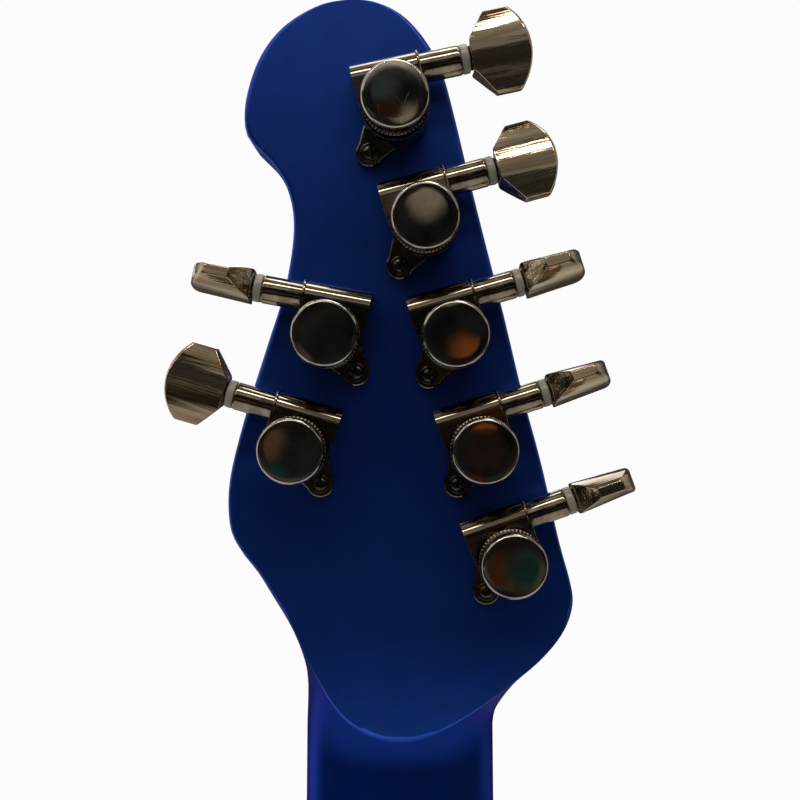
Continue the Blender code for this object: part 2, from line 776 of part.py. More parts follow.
def build_saddles():
    for number in range(7):
        x = string_x(number, True)
        crest = string_saddle_y(number) + STRING_RADII[number] + GAP
        base = PLATE_TOP_Y - GAP
        side = [
            (base, -642.5), (crest + 3.4, -642.5), (crest + 0.5, -645.6), (crest, -647.0), (crest, -648.4),
            (crest + 0.9, -650.4), (-4.4, -661.5), (-3.4, -668.0), (base, -668.0),
        ]
        sections = []
        for offset, shrink in ((-4.9, 0.4), (-4.5, 0.0), (4.5, 0.0), (4.9, 0.4)):
            sections.append([(x + offset, min(y + shrink, base), z) for y, z in side])
        points, faces = loft(sections)
        finish(mesh_object(f"saddle_{number + 1}", points, faces, "black_metal", (x, base, -SCALE_LENGTH)))


def build_pot(name, at):
    x, z = at
    profile = [
        (3.2, 1.0), (4.6, 1.0), (4.6, 12.6), (8.6, 12.6), (8.6, 14.0), (12.0, 14.0), (12.0, 22.0), (3.2, 22.0),
    ]
    pot = turned(name, profile, 16, (x, 0, z), (0, 1, 0), (1, 0, 0), "pot_steel")
    return finish(pot)


def build_knob(name, at):
    x, z = at
    profile = [
        (0.0, -15.0), (8.2, -15.0), (9.0, -14.2), (9.4, 0.4), (9.0, 0.8), (5.2, 0.8), (5.2, -0.8), (3.0, -0.8),
        (3.0, 21.0), (0.0, 21.0),
    ]
    return finish(turned(name, profile, 18, (x, 0, z), (0, 1, 0), (1, 0, 0), "black_metal", ring=False))


def build_selector():
    x, z = SELECTOR_AT
    profile = [
        (3.6, 0.0), (7.4, 0.0), (7.4, 3.6), (5.9, 3.6), (5.9, 12.6), (9.5, 12.6), (9.5, 32.0), (3.6, 32.0),
        (3.6, 30.0),
    ]
    switch = turned("selector_switch", profile, 16, (x, 0, z), (0, 1, 0), (1, 0, 0), "pot_steel")
    finish(switch)
    profile = [
        (0.0, -19.0), (2.2, -18.6), (3.1, -16.8), (2.6, -11.0), (1.5, -9.6), (1.4, 1.0), (2.3, 1.6), (2.3, 4.4),
        (1.2, 5.0), (1.2, 9.0), (0.0, 9.0),
    ]
    pivot = (x, SELECTOR_PIVOT_Y, z)
    lever = turned(
        "selector_lever", profile, 12, (x, 0, z), (0, 1, 0), (1, 0, 0), "black_metal", pivot, ring=False
    )
    return finish(lever)


def build_jack():
    profile = [
        (3.3, 1.0), (9.0, 1.0), (11.6, 0.4), (12.0, -0.6), (12.0, -1.8), (7.9, -1.8), (7.9, -30.0), (5.5, -32.0),
        (3.3, -32.0),
    ]
    return finish(turned("output_jack", profile, 20, JACK_AT, (1, 0, 0), (0, 1, 0), "black_metal"))


build_neck()
build_truss_rod()
build_fretboard()
build_nut()
build_tuners()
build_strings()
build_body()
build_cover()
build_strap_button("strap_button_upper", STRAP_AT[0], (0, 0, 1))
build_strap_button("strap_button_end", STRAP_AT[1], (0, 0, -1))
build_pickup("pickup_neck", PICKUP_NECK_Z)
build_pickup("pickup_bridge", PICKUP_BRIDGE_Z)
build_bridge()
build_saddles()
build_pot("volume_pot", VOLUME_AT)
build_pot("tone_pot", TONE_AT)
build_knob("volume_knob", VOLUME_AT)
build_knob("tone_knob", TONE_AT)
build_selector()
build_jack()
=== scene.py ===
import math

import bmesh
import bpy
from mathutils import Matrix, Vector


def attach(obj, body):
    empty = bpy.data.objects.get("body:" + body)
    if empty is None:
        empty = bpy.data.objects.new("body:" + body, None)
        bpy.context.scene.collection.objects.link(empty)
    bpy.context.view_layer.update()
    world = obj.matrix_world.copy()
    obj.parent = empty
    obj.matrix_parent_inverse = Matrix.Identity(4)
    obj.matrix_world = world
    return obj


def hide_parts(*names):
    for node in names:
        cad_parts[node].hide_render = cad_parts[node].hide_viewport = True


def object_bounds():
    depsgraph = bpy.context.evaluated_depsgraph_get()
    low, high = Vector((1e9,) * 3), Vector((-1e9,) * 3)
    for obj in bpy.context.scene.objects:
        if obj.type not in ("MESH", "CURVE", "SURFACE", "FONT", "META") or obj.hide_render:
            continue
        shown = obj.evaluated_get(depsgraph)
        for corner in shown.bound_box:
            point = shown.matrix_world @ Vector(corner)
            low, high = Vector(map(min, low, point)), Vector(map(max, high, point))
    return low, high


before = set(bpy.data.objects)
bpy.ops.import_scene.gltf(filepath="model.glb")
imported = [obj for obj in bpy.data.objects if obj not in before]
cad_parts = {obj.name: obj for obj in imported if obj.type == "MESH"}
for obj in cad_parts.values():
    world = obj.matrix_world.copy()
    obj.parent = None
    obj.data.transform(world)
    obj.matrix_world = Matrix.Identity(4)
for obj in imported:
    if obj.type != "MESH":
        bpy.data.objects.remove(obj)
cad_low, cad_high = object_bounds()

# Lengths are in millimetres, like the design, and become metres when a mesh is made.
MM = 0.001

# Neck and headstock
SCALE_LENGTH = 647.7
FRETS = 24
NUT_HALF = 24.1
HEEL_HALF = 31.5
BOARD_THICK = 6.0
BOARD_RADIUS = 400.0
BOARD_END_Z = -493.0
HEEL_END_Z = -494.0
HEEL_BACK_Y = 19.7
NECK_BACK_Y = 14.8
NECK_BACK_Y_FRET12 = 16.4
FRET12_Z = -323.0
HEEL_BAND = (392.0, 424.0)
BACK_POWER = 2.2
HEEL_POWER = 24.0
FRET_HEIGHT = 1.2
FRET_HALF = 1.15
STRING_RADII = (0.75, 0.585, 0.455, 0.33, 0.22, 0.17, 0.15)
STRING_GAP = 0.3
NUT_REST_Y = -7.65
SADDLE_REST_Y = -10.2
NUT_PITCH = 6.8
BRIDGE_PITCH = 10.5
HEAD_FRONT_Y = 2.5
HEAD_BACK_Y = 17.0
HEAD_EDGE = 1.5
SCOOP_START_Z = -8.0
SCOOP_RATE = 0.0245
SIDES_MEET_Z = 150.0

# Tuners: (post x, post z, shaft angle in degrees, button turn in degrees), from the lowest string up
BASS_TUNERS = (
    (-25.4, 47.4, 19.5, 84),
    (-18.8, 73.0, 17.4, 76),
    (-12.2, 98.7, 15.8, 77),
    (-5.5, 124.3, 14.8, -15),
    (1.1, 150.0, 11.8, 2),
)
TREBLE_TUNERS = (
    (16.5, 98.9, 10.6, 80),
    (24.2, 73.0, 16.4, 6),
)
SEAT_GAP = 0.3
WORM_OFFSET = 7.7
WORM_HEIGHT = 6.7
STRING_POST_Y = -3.8
POST_WAIST = 2.6

# Body, pickups, bridge and controls
BODY_TOP_Y = 4.0
BODY_BACK_Y = 47.0
BODY_EDGE = 5.0
POCKET_Y = 20.0
PICKUP_TOP_Y = -5.6
WINDING_TOP_Y = PICKUP_TOP_Y + 2.0
BOBBIN_SHIFT = 9.6
PLATE_TOP_Y = 1.2
STRING_ANCHOR_Y = -2.6
BRIDGE_WALL_Z = -689.0
PICKUPS = (("neck", -517.5), ("bridge", -612.0))
VOLUME_AT = (86.0, -662.0)
TONE_AT = (110.0, -704.0)
SELECTOR_AT = (108.0, -630.0)
JACK_AT = (158.8, 26.0, -686.0)
STRAPS = (("upper", (-123.5, 25.5, -330.6), 1), ("end", (0.0, 25.5, -774.0), -1))

WIDE = Vector((1, 0, 0))
DEEP = Vector((0, 1, 0))
TALL = Vector((0, 0, 1))


# ---------------------------------------------------------------- materials


class Nodes:
    """A node tree, and the nodes that the finishes and the surroundings share."""

    def __init__(self, tree):
        self.tree = tree

    def feed(self, node, inputs):
        """Links inputs to other nodes' outputs, or sets them to plain values."""
        for label, value in inputs.items():
            if isinstance(value, bpy.types.NodeSocket):
                self.tree.links.new(value, node.inputs[label])
            else:
                node.inputs[label].default_value = value

    def new(self, kind, inputs, **settings):
        node = self.tree.nodes.new(kind)
        for label, value in settings.items():
            setattr(node, label, value)
        self.feed(node, inputs)
        return node

    def math(self, operation, one, two):
        return self.new("ShaderNodeMath", {0: one, 1: two}, operation=operation).outputs[0]

    def vector(self, operation, inputs):
        """The outputs of one step of vector arithmetic."""
        return self.new("ShaderNodeVectorMath", inputs, operation=operation).outputs

    def spread(self, value, low, high, start=0.0, end=1.0, shape="LINEAR"):
        """Maps a value from low..high to start..end, clamped."""
        inputs = {"Value": value, "From Min": low, "From Max": high, "To Min": start, "To Max": end}
        return self.new("ShaderNodeMapRange", inputs, interpolation_type=shape).outputs["Result"]

    def ramp(self, value, stops, shape="LINEAR"):
        """Colours that follow a value from 0 to 1."""
        node = self.new("ShaderNodeValToRGB", {"Fac": value})
        node.color_ramp.interpolation = shape
        elements = node.color_ramp.elements
        while len(elements) < len(stops):
            elements.new(0.5)
        for element, (place, colour) in zip(elements, stops):
            element.position = place
            element.color = (*colour, 1.0)
        return node.outputs["Color"]

    def blend(self, factor, one, two, kind="MIX"):
        inputs = {0: factor, 6: one, 7: two}
        return self.new("ShaderNodeMix", inputs, data_type="RGBA", blend_type=kind).outputs[2]


class Paint(Nodes):
    """A Principled material with textures laid out in the piece's own coordinates."""

    def __init__(self, name, colour, metallic=0.0, roughness=0.4, **sockets):
        self.material = bpy.data.materials.new(name)
        self.material.use_nodes = True
        super().__init__(self.material.node_tree)
        self.shader = self.tree.nodes["Principled BSDF"]
        self.feed(self.shader, {"Base Color": (*colour, 1.0), "Metallic": metallic, "Roughness": roughness})
        self.feed(self.shader, {label.replace("_", " "): value for label, value in sockets.items()})
        self.normal = None

    def place(self, stretch=(1.0, 1.0, 1.0)):
        """Object coordinates in metres, squeezed along each axis."""
        where = self.new("ShaderNodeTexCoord", {}).outputs["Object"]
        return self.new("ShaderNodeMapping", {"Vector": where, "Scale": stretch}).outputs["Vector"]

    def noise(self, scale, detail=4.0, stretch=(1.0, 1.0, 1.0), distortion=0.0):
        inputs = {"Scale": scale, "Detail": detail, "Distortion": distortion, "Vector": self.place(stretch)}
        return self.new("ShaderNodeTexNoise", inputs).outputs["Fac"]

    def wave(self, scale, stretch):
        inputs = {"Scale": scale, "Vector": self.place(stretch)}
        return self.new("ShaderNodeTexWave", inputs, bands_direction="Z").outputs["Fac"]

    def cells(self, scale, stretch):
        inputs = {"Scale": scale, "Vector": self.place(stretch)}
        return self.new("ShaderNodeTexVoronoi", inputs, feature="DISTANCE_TO_EDGE").outputs["Distance"]

    def along(self, axis):
        """Distance along one axis, in metres."""
        return self.new("ShaderNodeSeparateXYZ", {"Vector": self.place()}).outputs[axis]

    def shade(self, value, low, high, dark, light):
        return self.ramp(value, ((low, dark), (high, light)))

    def tint(self, colour):
        self.feed(self.shader, {"Base Color": colour})

    def rough(self, value):
        self.feed(self.shader, {"Roughness": value})

    def bump(self, height, strength, distance):
        inputs = {"Strength": strength, "Distance": distance, "Height": height}
        if self.normal is not None:
            inputs["Normal"] = self.normal
        self.normal = self.new("ShaderNodeBump", inputs).outputs["Normal"]
        self.feed(self.shader, {"Normal": self.normal})

    def fade_out(self, start, end):
        """Lets a floor melt into the backdrop between two distances from its middle."""
        where = self.new("ShaderNodeTexCoord", {}).outputs["Object"]
        reach = self.vector("LENGTH", {0: where})["Value"]
        self.feed(self.shader, {"Alpha": self.spread(reach, start, end, 1.0, 0.0)})


# Shares of the height from the lower to the upper end of each band, in metres, and the tone there
# Painted shade: the neck's colour is darkened in the hollow under the headstock
HOLLOW_SHADE_BAND = (-0.10, 0.05)
HOLLOW_SHADE_TONES = (
    (0.0, (1.0, 1.0, 1.0)), (0.50, (0.52, 0.58, 0.68)), (0.86, (0.45, 0.52, 0.64)), (1.0, (1.0, 1.0, 1.0)),
)
# Painted highlight: the headstock's flat back is brightened on the lip above the neck
LIP_HIGHLIGHT_BAND = (0.0, 0.05)
LIP_HIGHLIGHT_TONES = (
    (0.0, (2.4, 2.2, 2.1)), (0.25, (1.70, 1.65, 1.6)), (0.56, (1.0, 1.0, 1.0)), (1.0, (1.0, 1.0, 1.0)),
)


def satin_blue(name, painted_lip_light=False):
    """Metallic blue under a satin clear coat: fine flake, faint cloudiness and a soft orange peel.
    On the neck, painted shade darkens the hollow under the headstock and a painted highlight brightens the
    lip above it; the neck's coat is thinner and less glossy than on the headstock's flat back."""
    paint = Paint(
        name, (0.012, 0.075, 0.50), 0.8, 0.34, Coat_Weight=0.3, Coat_Roughness=0.3,
        Specular_Tint=(0.30, 0.34, 0.60, 1.0),
    )
    flake = paint.noise(5200.0, 1.0)
    deep = paint.shade(paint.noise(22.0, 3.0), 0.3, 0.7, (0.010, 0.062, 0.44), (0.013, 0.078, 0.52))
    bright = paint.shade(flake, 0.35, 0.75, (0.82, 0.82, 0.86), (1.0, 1.0, 1.0))
    colour = paint.blend(1.0, deep, bright, "MULTIPLY")
    if painted_lip_light:
        # Painted shade in the hollow and a painted highlight on the lip, multiplied into the colour; flat
        # picks the headstock's flat back
        hollow = paint.ramp(paint.spread(paint.along("Z"), *HOLLOW_SHADE_BAND), HOLLOW_SHADE_TONES)
        lip = paint.ramp(paint.spread(paint.along("Z"), *LIP_HIGHLIGHT_BAND), LIP_HIGHLIGHT_TONES)
        flat = paint.spread(paint.along("Y"), 0.0163, 0.0170)
        colour = paint.blend(1.0, colour, paint.blend(flat, hollow, lip), "MULTIPLY")
        glossy = paint.math("ADD", flat, paint.spread(paint.along("Z"), 0.030, 0.050))
        gloss = {"Coat Weight": (0.04, 0.3), "Specular IOR Level": (0.12, 0.5)}
        for label, ends in gloss.items():
            paint.feed(paint.shader, {label: paint.spread(glossy, 0.0, 1.0, *ends)})
    paint.tint(colour)
    paint.rough(paint.spread(paint.noise(160.0, 5.0), 0.3, 0.7, 0.32, 0.37))
    paint.bump(paint.noise(420.0, 2.0), 0.04, 0.0002)
    paint.bump(flake, 0.03, 0.00002)
    return paint.material


def nickel(name, colour, dark, roughness, streak=(1.0, 1.0, 1.0), ripple=0.05, scratch=0.0, metallic=1.0):
    """Smoky plating: slow colour drift, a drawn grain along one axis, and fine hairline marks."""
    paint = Paint(name, colour, metallic, roughness)
    drift = paint.noise(260.0, 4.0, streak, 0.4)
    paint.tint(paint.shade(drift, 0.38, 0.62, dark, colour))
    grain = paint.noise(900.0, 6.0, streak)
    rough = paint.spread(grain, 0.35, 0.75, roughness * 0.7, roughness * 1.7)
    paint.bump(paint.noise(330.0, 3.0, streak), ripple, 0.0006)
    paint.bump(grain, ripple, 0.0001)
    if scratch:
        marks = paint.spread(paint.cells(240.0, (1.0, 0.25, 0.7)), 0.0, 0.009, scratch, 0.0)
        fainter = paint.spread(paint.cells(420.0, (0.3, 1.0, 1.0)), 0.0, 0.010, 0.4 * scratch, 0.0)
        worn = paint.spread(paint.noise(150.0, 2.0), 0.5, 0.6, 0.0, 0.8)
        rough = paint.math("ADD", rough, paint.math("MULTIPLY", paint.math("ADD", marks, fainter), worn))
    paint.rough(rough)
    return paint.material


def grained_metal(name, colour, roughness, metallic=1.0):
    """Plain metal with a fine cast grain."""
    paint = Paint(name, colour, metallic, roughness)
    pale = tuple(min(c * 1.35 + 0.004, 1.0) for c in colour)
    paint.tint(paint.shade(paint.noise(320.0, 5.0), 0.3, 0.75, colour, pale))
    paint.rough(paint.spread(paint.noise(900.0, 4.0), 0.3, 0.7, roughness * 0.75, roughness * 1.3))
    paint.bump(paint.noise(1500.0, 3.0), 0.08, 0.0001)
    return paint.material


def plastic(name, colour, roughness, grain=1200.0, depth=0.12):
    """Moulded plastic, slightly uneven in tone and gloss."""
    paint = Paint(name, colour, 0.0, roughness)
    pale = tuple(c * 1.4 + 0.003 for c in colour)
    paint.tint(paint.shade(paint.noise(260.0, 4.0), 0.3, 0.7, colour, pale))
    paint.rough(paint.spread(paint.noise(500.0, 4.0), 0.3, 0.7, roughness * 0.8, roughness * 1.25))
    paint.bump(paint.noise(grain, 3.0), depth, 0.0001)
    return paint.material


def rosewood(name):
    """Dark open-grained wood with its grain along the neck."""
    paint = Paint(name, (0.05, 0.02, 0.012), 0.0, 0.5)
    figure = paint.noise(60.0, 8.0, (1.0, 1.0, 0.06), 0.8)
    pores = paint.noise(1400.0, 3.0, (1.0, 1.0, 0.05))
    brown = paint.shade(figure, 0.3, 0.72, (0.018, 0.007, 0.004), (0.105, 0.043, 0.021))
    holes = paint.shade(pores, 0.42, 0.52, (0.35, 0.33, 0.32), (1.0, 1.0, 1.0))
    paint.tint(paint.blend(1.0, brown, holes, "MULTIPLY"))
    paint.rough(paint.spread(pores, 0.4, 0.6, 0.62, 0.42))
    paint.bump(pores, 0.25, 0.00015)
    return paint.material


def wound_string(name):
    """Nickel wire wound round a core: one fine ridge for each turn, with painted shade darkening the groove
    between turns.
    """
    paint = Paint(name, (0.62, 0.59, 0.54), 1.0, 0.28)
    turns = paint.wave(560.0, (0.0, 0.0, 1.0))
    # Painted shade: the colour darkens in the groove between turns, where the bump is low
    paint.tint(paint.shade(turns, 0.1, 0.6, (0.30, 0.28, 0.25), (0.66, 0.63, 0.58)))
    paint.bump(turns, 0.8, 0.0003)
    return paint.material


def plain_string(name):
    """Bare drawn steel, its marks along the wire."""
    paint = Paint(name, (0.72, 0.71, 0.69), 1.0, 0.2)
    paint.tint(paint.shade(paint.noise(300.0, 4.0), 0.3, 0.7, (0.60, 0.59, 0.57), (0.76, 0.75, 0.73)))
    paint.rough(paint.spread(paint.noise(700.0, 3.0, (1.0, 1.0, 0.1)), 0.3, 0.7, 0.15, 0.28))
    return paint.material


def pearl(name):
    """Pale inlay with a slow swirl."""
    paint = Paint(name, (0.72, 0.72, 0.68), 0.0, 0.25)
    swirl = paint.noise(420.0, 3.0, distortion=2.5)
    paint.tint(paint.shade(swirl, 0.35, 0.7, (0.50, 0.53, 0.53), (0.86, 0.85, 0.80)))
    return paint.material


BLUE = satin_blue("satin_blue")
# The neck's paint carries painted shade in the hollow and a painted highlight on the lip
NECK_BLUE_PAINTED_LIGHT = satin_blue("satin_blue_lip_painted_light", True)
HOUSING_METAL = nickel(
    "tuner_black_nickel", (0.34, 0.295, 0.225), (0.18, 0.15, 0.115), 0.09, (0.1, 1.0, 1.0), 0.05
)
BUTTON_METAL = nickel(
    "button_black_nickel", (0.56, 0.47, 0.34), (0.25, 0.18, 0.11), 0.07, (0.05, 1.0, 1.0), 0.35, metallic=0.93
)
# Painted shade: the ear is the same plating as the housing, coloured darker
EAR_METAL_PAINTED_SHADE = nickel("ear_black_nickel_painted_shade", (0.22, 0.19, 0.14), (0.13, 0.11, 0.08), 0.12, ripple=0.03)
DISC_METAL = nickel("lock_black_nickel", (0.48, 0.45, 0.40), (0.40, 0.37, 0.33), 0.035, ripple=0.004)
WORN_DISC_METAL = nickel(
    "worn_black_nickel", (0.48, 0.45, 0.40), (0.40, 0.37, 0.33), 0.035, ripple=0.004, scratch=0.5
)
KNURL_METAL = nickel("knurl_black_nickel", (0.26, 0.22, 0.16), (0.15, 0.12, 0.09), 0.2, ripple=0.02)
SCREW_METAL = nickel("screw_black_nickel", (0.10, 0.088, 0.075), (0.05, 0.045, 0.04), 0.2, ripple=0.02)
POST_METAL = nickel("post_nickel", (0.52, 0.49, 0.44), (0.42, 0.39, 0.35), 0.2, ripple=0.02)
WASHER = plastic("clear_washer", (0.33, 0.32, 0.27), 0.35)
FRET_METAL = nickel("fret_nickel", (0.70, 0.68, 0.64), (0.60, 0.58, 0.54), 0.2)
ROSEWOOD = rosewood("rosewood")
PEARL = pearl("pearl_dot")
NUT_BLACK = plastic("graphite_nut", (0.022, 0.022, 0.024), 0.35, 900.0)
BLACK_METAL = grained_metal("black_plate", (0.022, 0.022, 0.024), 0.34)
BLACK_PLASTIC = plastic("pickup_plastic", (0.012, 0.012, 0.013), 0.38)
COVER_PLASTIC = plastic("cover_plastic", (0.018, 0.018, 0.02), 0.5, 2200.0, 0.3)
ZINC = grained_metal("zinc_steel", (0.42, 0.42, 0.41), 0.36)
POLE_METAL = grained_metal("pole_steel", (0.45, 0.44, 0.42), 0.25)
BRASS = grained_metal("ball_brass", (0.55, 0.38, 0.16), 0.3)
TAPE = plastic("winding_tape", (0.010, 0.010, 0.011), 0.55, 700.0, 0.2)
WOUND = wound_string("wound_nickel")
PLAIN = plain_string("plain_steel")


# ---------------------------------------------------------------- mesh helpers


def closed_mesh(name, shape, weld=True):
    """A mesh in metres from (points in millimetres, faces), with its normals outwards."""
    points, faces = shape
    mesh = bpy.data.meshes.new(name)
    mesh.from_pydata([tuple(Vector(p) * MM) for p in points], [], faces)
    work = bmesh.new()
    work.from_mesh(mesh)
    if weld:
        bmesh.ops.remove_doubles(work, verts=work.verts, dist=1e-7)
    bmesh.ops.recalc_face_normals(work, faces=work.faces)
    work.to_mesh(mesh)
    work.free()
    return mesh


def smooth(mesh, angle):
    for face in mesh.polygons:
        face.use_smooth = True
    mesh.set_sharp_from_angle(angle=math.radians(angle))


def stand(name, mesh, place=None):
    """A linked object with a mesh, at a place."""
    obj = bpy.data.objects.new(name, mesh)
    bpy.context.scene.collection.objects.link(obj)
    if place is not None:
        obj.matrix_world = place
    return obj


def piece(name, shape, paint, place=None, bevel=0.0, steps=3, angle=30.0, body="guitar"):
    """A piece that rides on a body. Its points are in the frame that place gives."""
    mesh = closed_mesh(name, shape)
    mesh.materials.append(paint)
    smooth(mesh, angle)
    obj = stand(name, mesh, place)
    if bevel:
        soften(obj, bevel, steps, angle)
    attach(obj, body)
    return obj


def keep_flat(obj):
    """Weighted normals that leave the sharp edges alone."""
    flat = obj.modifiers.new("flats", "WEIGHTED_NORMAL")
    flat.keep_sharp = True
    return flat


def soften(obj, width, steps=3, angle=30.0):
    """Small rounded edges, with the flat faces kept flat."""
    edge = obj.modifiers.new("edges", "BEVEL")
    edge.width = width * MM
    edge.segments = steps
    edge.limit_method = "ANGLE"
    edge.angle_limit = math.radians(angle)
    edge.harden_normals = False
    edge.miter_outer = "MITER_ARC"
    keep_flat(obj).weight = 80


def loft(sections, cap=True):
    """Points and quads through equal-length closed sections."""
    count = len(sections[0])
    points = [p for section in sections for p in section]
    faces = []
    for i in range(len(sections) - 1):
        for j in range(count):
            k = (j + 1) % count
            faces.append((i * count + j, i * count + k, (i + 1) * count + k, (i + 1) * count + j))
    if cap:
        last = (len(sections) - 1) * count
        faces.append(tuple(reversed(range(count))))
        faces.append(tuple(range(last, last + count)))
    return points, faces


def lathe(profile, segments, ring=False, wobble=None):
    """A profile of (radius, height) turned round local z. wobble(step, radius, height) cuts teeth in it."""
    points = []
    rows = []
    for radius, height in profile:
        if radius < 1e-6:
            rows.append([len(points)] * segments)
            points.append((0.0, 0.0, height))
            continue
        row = []
        for k in range(segments):
            turn = 2 * math.pi * k / segments
            reach = radius + (wobble(k, radius, height) if wobble else 0.0)
            row.append(len(points))
            points.append((reach * math.cos(turn), reach * math.sin(turn), height))
        rows.append(row)
    faces = []
    for i in range(len(rows) if ring else len(rows) - 1):
        low = rows[i]
        high = rows[(i + 1) % len(rows)]
        for k in range(segments):
            m = (k + 1) % segments
            corners = []
            for index in (low[k], low[m], high[m], high[k]):
                if index not in corners:
                    corners.append(index)
            if len(corners) > 2:
                faces.append(tuple(corners))
    if not ring:
        if profile[0][0] > 1e-6:
            faces.append(tuple(rows[0]))
        if profile[-1][0] > 1e-6:
            faces.append(tuple(rows[-1]))
    return points, faces


def eased(points, radius, steps=4, closed=False):
    """A run of 2-D points with each corner turned into a short curve."""
    count = len(points)
    result = []
    for i, here in enumerate(points):
        if not closed and i in (0, count - 1):
            result.append(tuple(here))
            continue
        before = points[i - 1]
        after = points[(i + 1) % count]
        back = math.dist(here, before)
        ahead = math.dist(here, after)
        reach = min(radius, 0.45 * back, 0.45 * ahead)
        start = [h + (b - h) * reach / back for h, b in zip(here, before)]
        end = [h + (a - h) * reach / ahead for h, a in zip(here, after)]
        for s in range(steps + 1):
            t = s / steps
            result.append(
                tuple((1 - t) ** 2 * p + 2 * t * (1 - t) * h + t * t * q for p, h, q in zip(start, here, end))
            )
    return result


def axis_place(at, axis, side=WIDE):
    """A place whose local z is an axis, at a point in millimetres."""
    z = Vector(axis).normalized()
    x = (Vector(side) - z * Vector(side).dot(z)).normalized()
    y = z.cross(x)
    place = Matrix((x, y, z)).transposed().to_4x4()
    place.translation = Vector(at) * MM
    return place


def spun(
    name, profile, segments, place, paint, slot, ease=0.0, ring=False, wobble=None, angle=40.0, body="guitar"
):
    """A piece turned from a profile round its own z, with its corners eased."""
    if ease:
        profile = eased(profile, ease, 3, ring)
    return piece(name, lathe(profile, segments, ring, wobble), paint, place, angle=angle, body=body)


def turned(name, profile, segments, at, axis, *finish, side=WIDE, **more):
    """A spun piece round an axis through a point."""
    return spun(name, profile, segments, axis_place(at, axis, side), *finish, **more)


def smooth_curve(points, steps, closed=True):
    """A Catmull-Rom curve through plan points, the same number of steps on each span."""
    count = len(points)
    result = []
    for i in range(count if closed else count - 1):
        if closed:
            p0, p1, p2, p3 = (points[(i + j) % count] for j in (-1, 0, 1, 2))
        else:
            p0, p1, p2, p3 = (points[min(max(i + j, 0), count - 1)] for j in (-1, 0, 1, 2))
        for s in range(steps):
            t = s / steps
            result.append(
                tuple(
                    0.5
                    * (
                        2 * b
                        + (c - a) * t
                        + (2 * a - 5 * b + 4 * c - d) * t * t
                        + (3 * b - a - 3 * c + d) * t * t * t
                    )
                    for a, b, c, d in zip(p0, p1, p2, p3)
                )
            )
    if not closed:
        result.append(tuple(points[-1]))
    return result


def inset(outline, distance):
    """The closed plan outline moved inwards along its own normals."""
    area = sum(a[0] * b[1] - b[0] * a[1] for a, b in zip(outline, outline[1:] + outline[:1]))
    sign = 1.0 if area > 0 else -1.0
    moved = []
    for i, here in enumerate(outline):
        before = outline[i - 1]
        after = outline[(i + 1) % len(outline)]
        dx = after[0] - before[0]
        dz = after[1] - before[1]
        length = math.hypot(dx, dz)
        moved.append((here[0] - sign * dz / length * distance, here[1] + sign * dx / length * distance))
    return moved


def slab(outline, low, high, axis=1):
    """An outline in two axes carried straight along the third: 0 for x, 1 for y, 2 for z."""
    return loft([[(*p[:axis], level, *p[axis:]) for p in outline] for level in (low, high)])


def quarter(radius, steps):
    """How far a rounded edge falls away on its two sides, from the first side round to the second."""
    turns = [math.radians(90 * k / steps) for k in range(steps + 1)]
    return [(radius * (1 - math.cos(turn)), radius * (1 - math.sin(turn))) for turn in turns]


def arc(centre, radius, start, sweep, steps):
    """Plan points round part of a circle, from a start angle in degrees."""
    turns = [math.radians(start + sweep * k / steps) for k in range(steps + 1)]
    return [(centre[0] + radius * math.cos(turn), centre[1] + radius * math.sin(turn)) for turn in turns]


def rounded_rect(half_x, half_z, radius, centre_x, centre_z, steps=6):
    outline = []
    for cx, cz, start in ((1, 1, 0), (-1, 1, 90), (-1, -1, 180), (1, -1, 270)):
        corner = (centre_x + cx * (half_x - radius), centre_z + cz * (half_z - radius))
        outline += arc(corner, radius, start, 90, steps)
    return outline


def helper(shape, place=None):
    """A closed tool object for cutting, removed after use."""
    return stand("tool", closed_mesh("tool", shape, False), place)


def cut(target, tools, angle=30.0):
    """Cuts closed tools out of a piece and keeps the result as its mesh."""
    for tool in tools:
        step = target.modifiers.new("cut", "BOOLEAN")
        step.operation = "DIFFERENCE"
        step.solver = "EXACT"
        step.object = tool
    bpy.context.view_layer.update()
    graph = bpy.context.evaluated_depsgraph_get()
    mesh = bpy.data.meshes.new_from_object(target.evaluated_get(graph))
    target.modifiers.clear()
    own = target.data.materials[0]
    target.data = mesh
    mesh.materials.clear()
    mesh.materials.append(own)
    for face in mesh.polygons:
        face.material_index = 0
    smooth(mesh, angle)
    for tool in tools:
        bpy.data.objects.remove(tool, do_unlink=True)


def drill(radius, low, high, at, axis, segments=48):
    return helper(lathe([(radius, low), (radius, high)], segments), axis_place(at, axis))


# ---------------------------------------------------------------- camera, light and stage


def build_camera():
    """The photo's view: behind the headstock, tilted a little down."""
    data = bpy.data.cameras.new("camera")
    data.lens = 44.33
    data.sensor_width = 36
    data.shift_y = 0.0471
    data.clip_start = 0.01
    camera = bpy.data.objects.new("camera", data)
    camera.location = (0, 0.252, 0.090)
    camera.rotation_euler = (math.radians(90 - 3.7), 0, math.radians(180))
    bpy.context.scene.collection.objects.link(camera)
    bpy.context.scene.camera = camera


def area_light(name, at, target, size_x, size_y, power, colour=(1.0, 1.0, 1.0)):
    data = bpy.data.lights.new(name, "AREA")
    data.shape = "RECTANGLE"
    data.size = size_x
    data.size_y = size_y
    data.energy = power
    data.color = colour
    lamp = bpy.data.objects.new(name, data)
    lamp.location = at
    lamp.rotation_euler = (Vector(target) - Vector(at)).to_track_quat("-Z", "Y").to_euler()
    lamp.visible_camera = False
    bpy.context.scene.collection.objects.link(lamp)


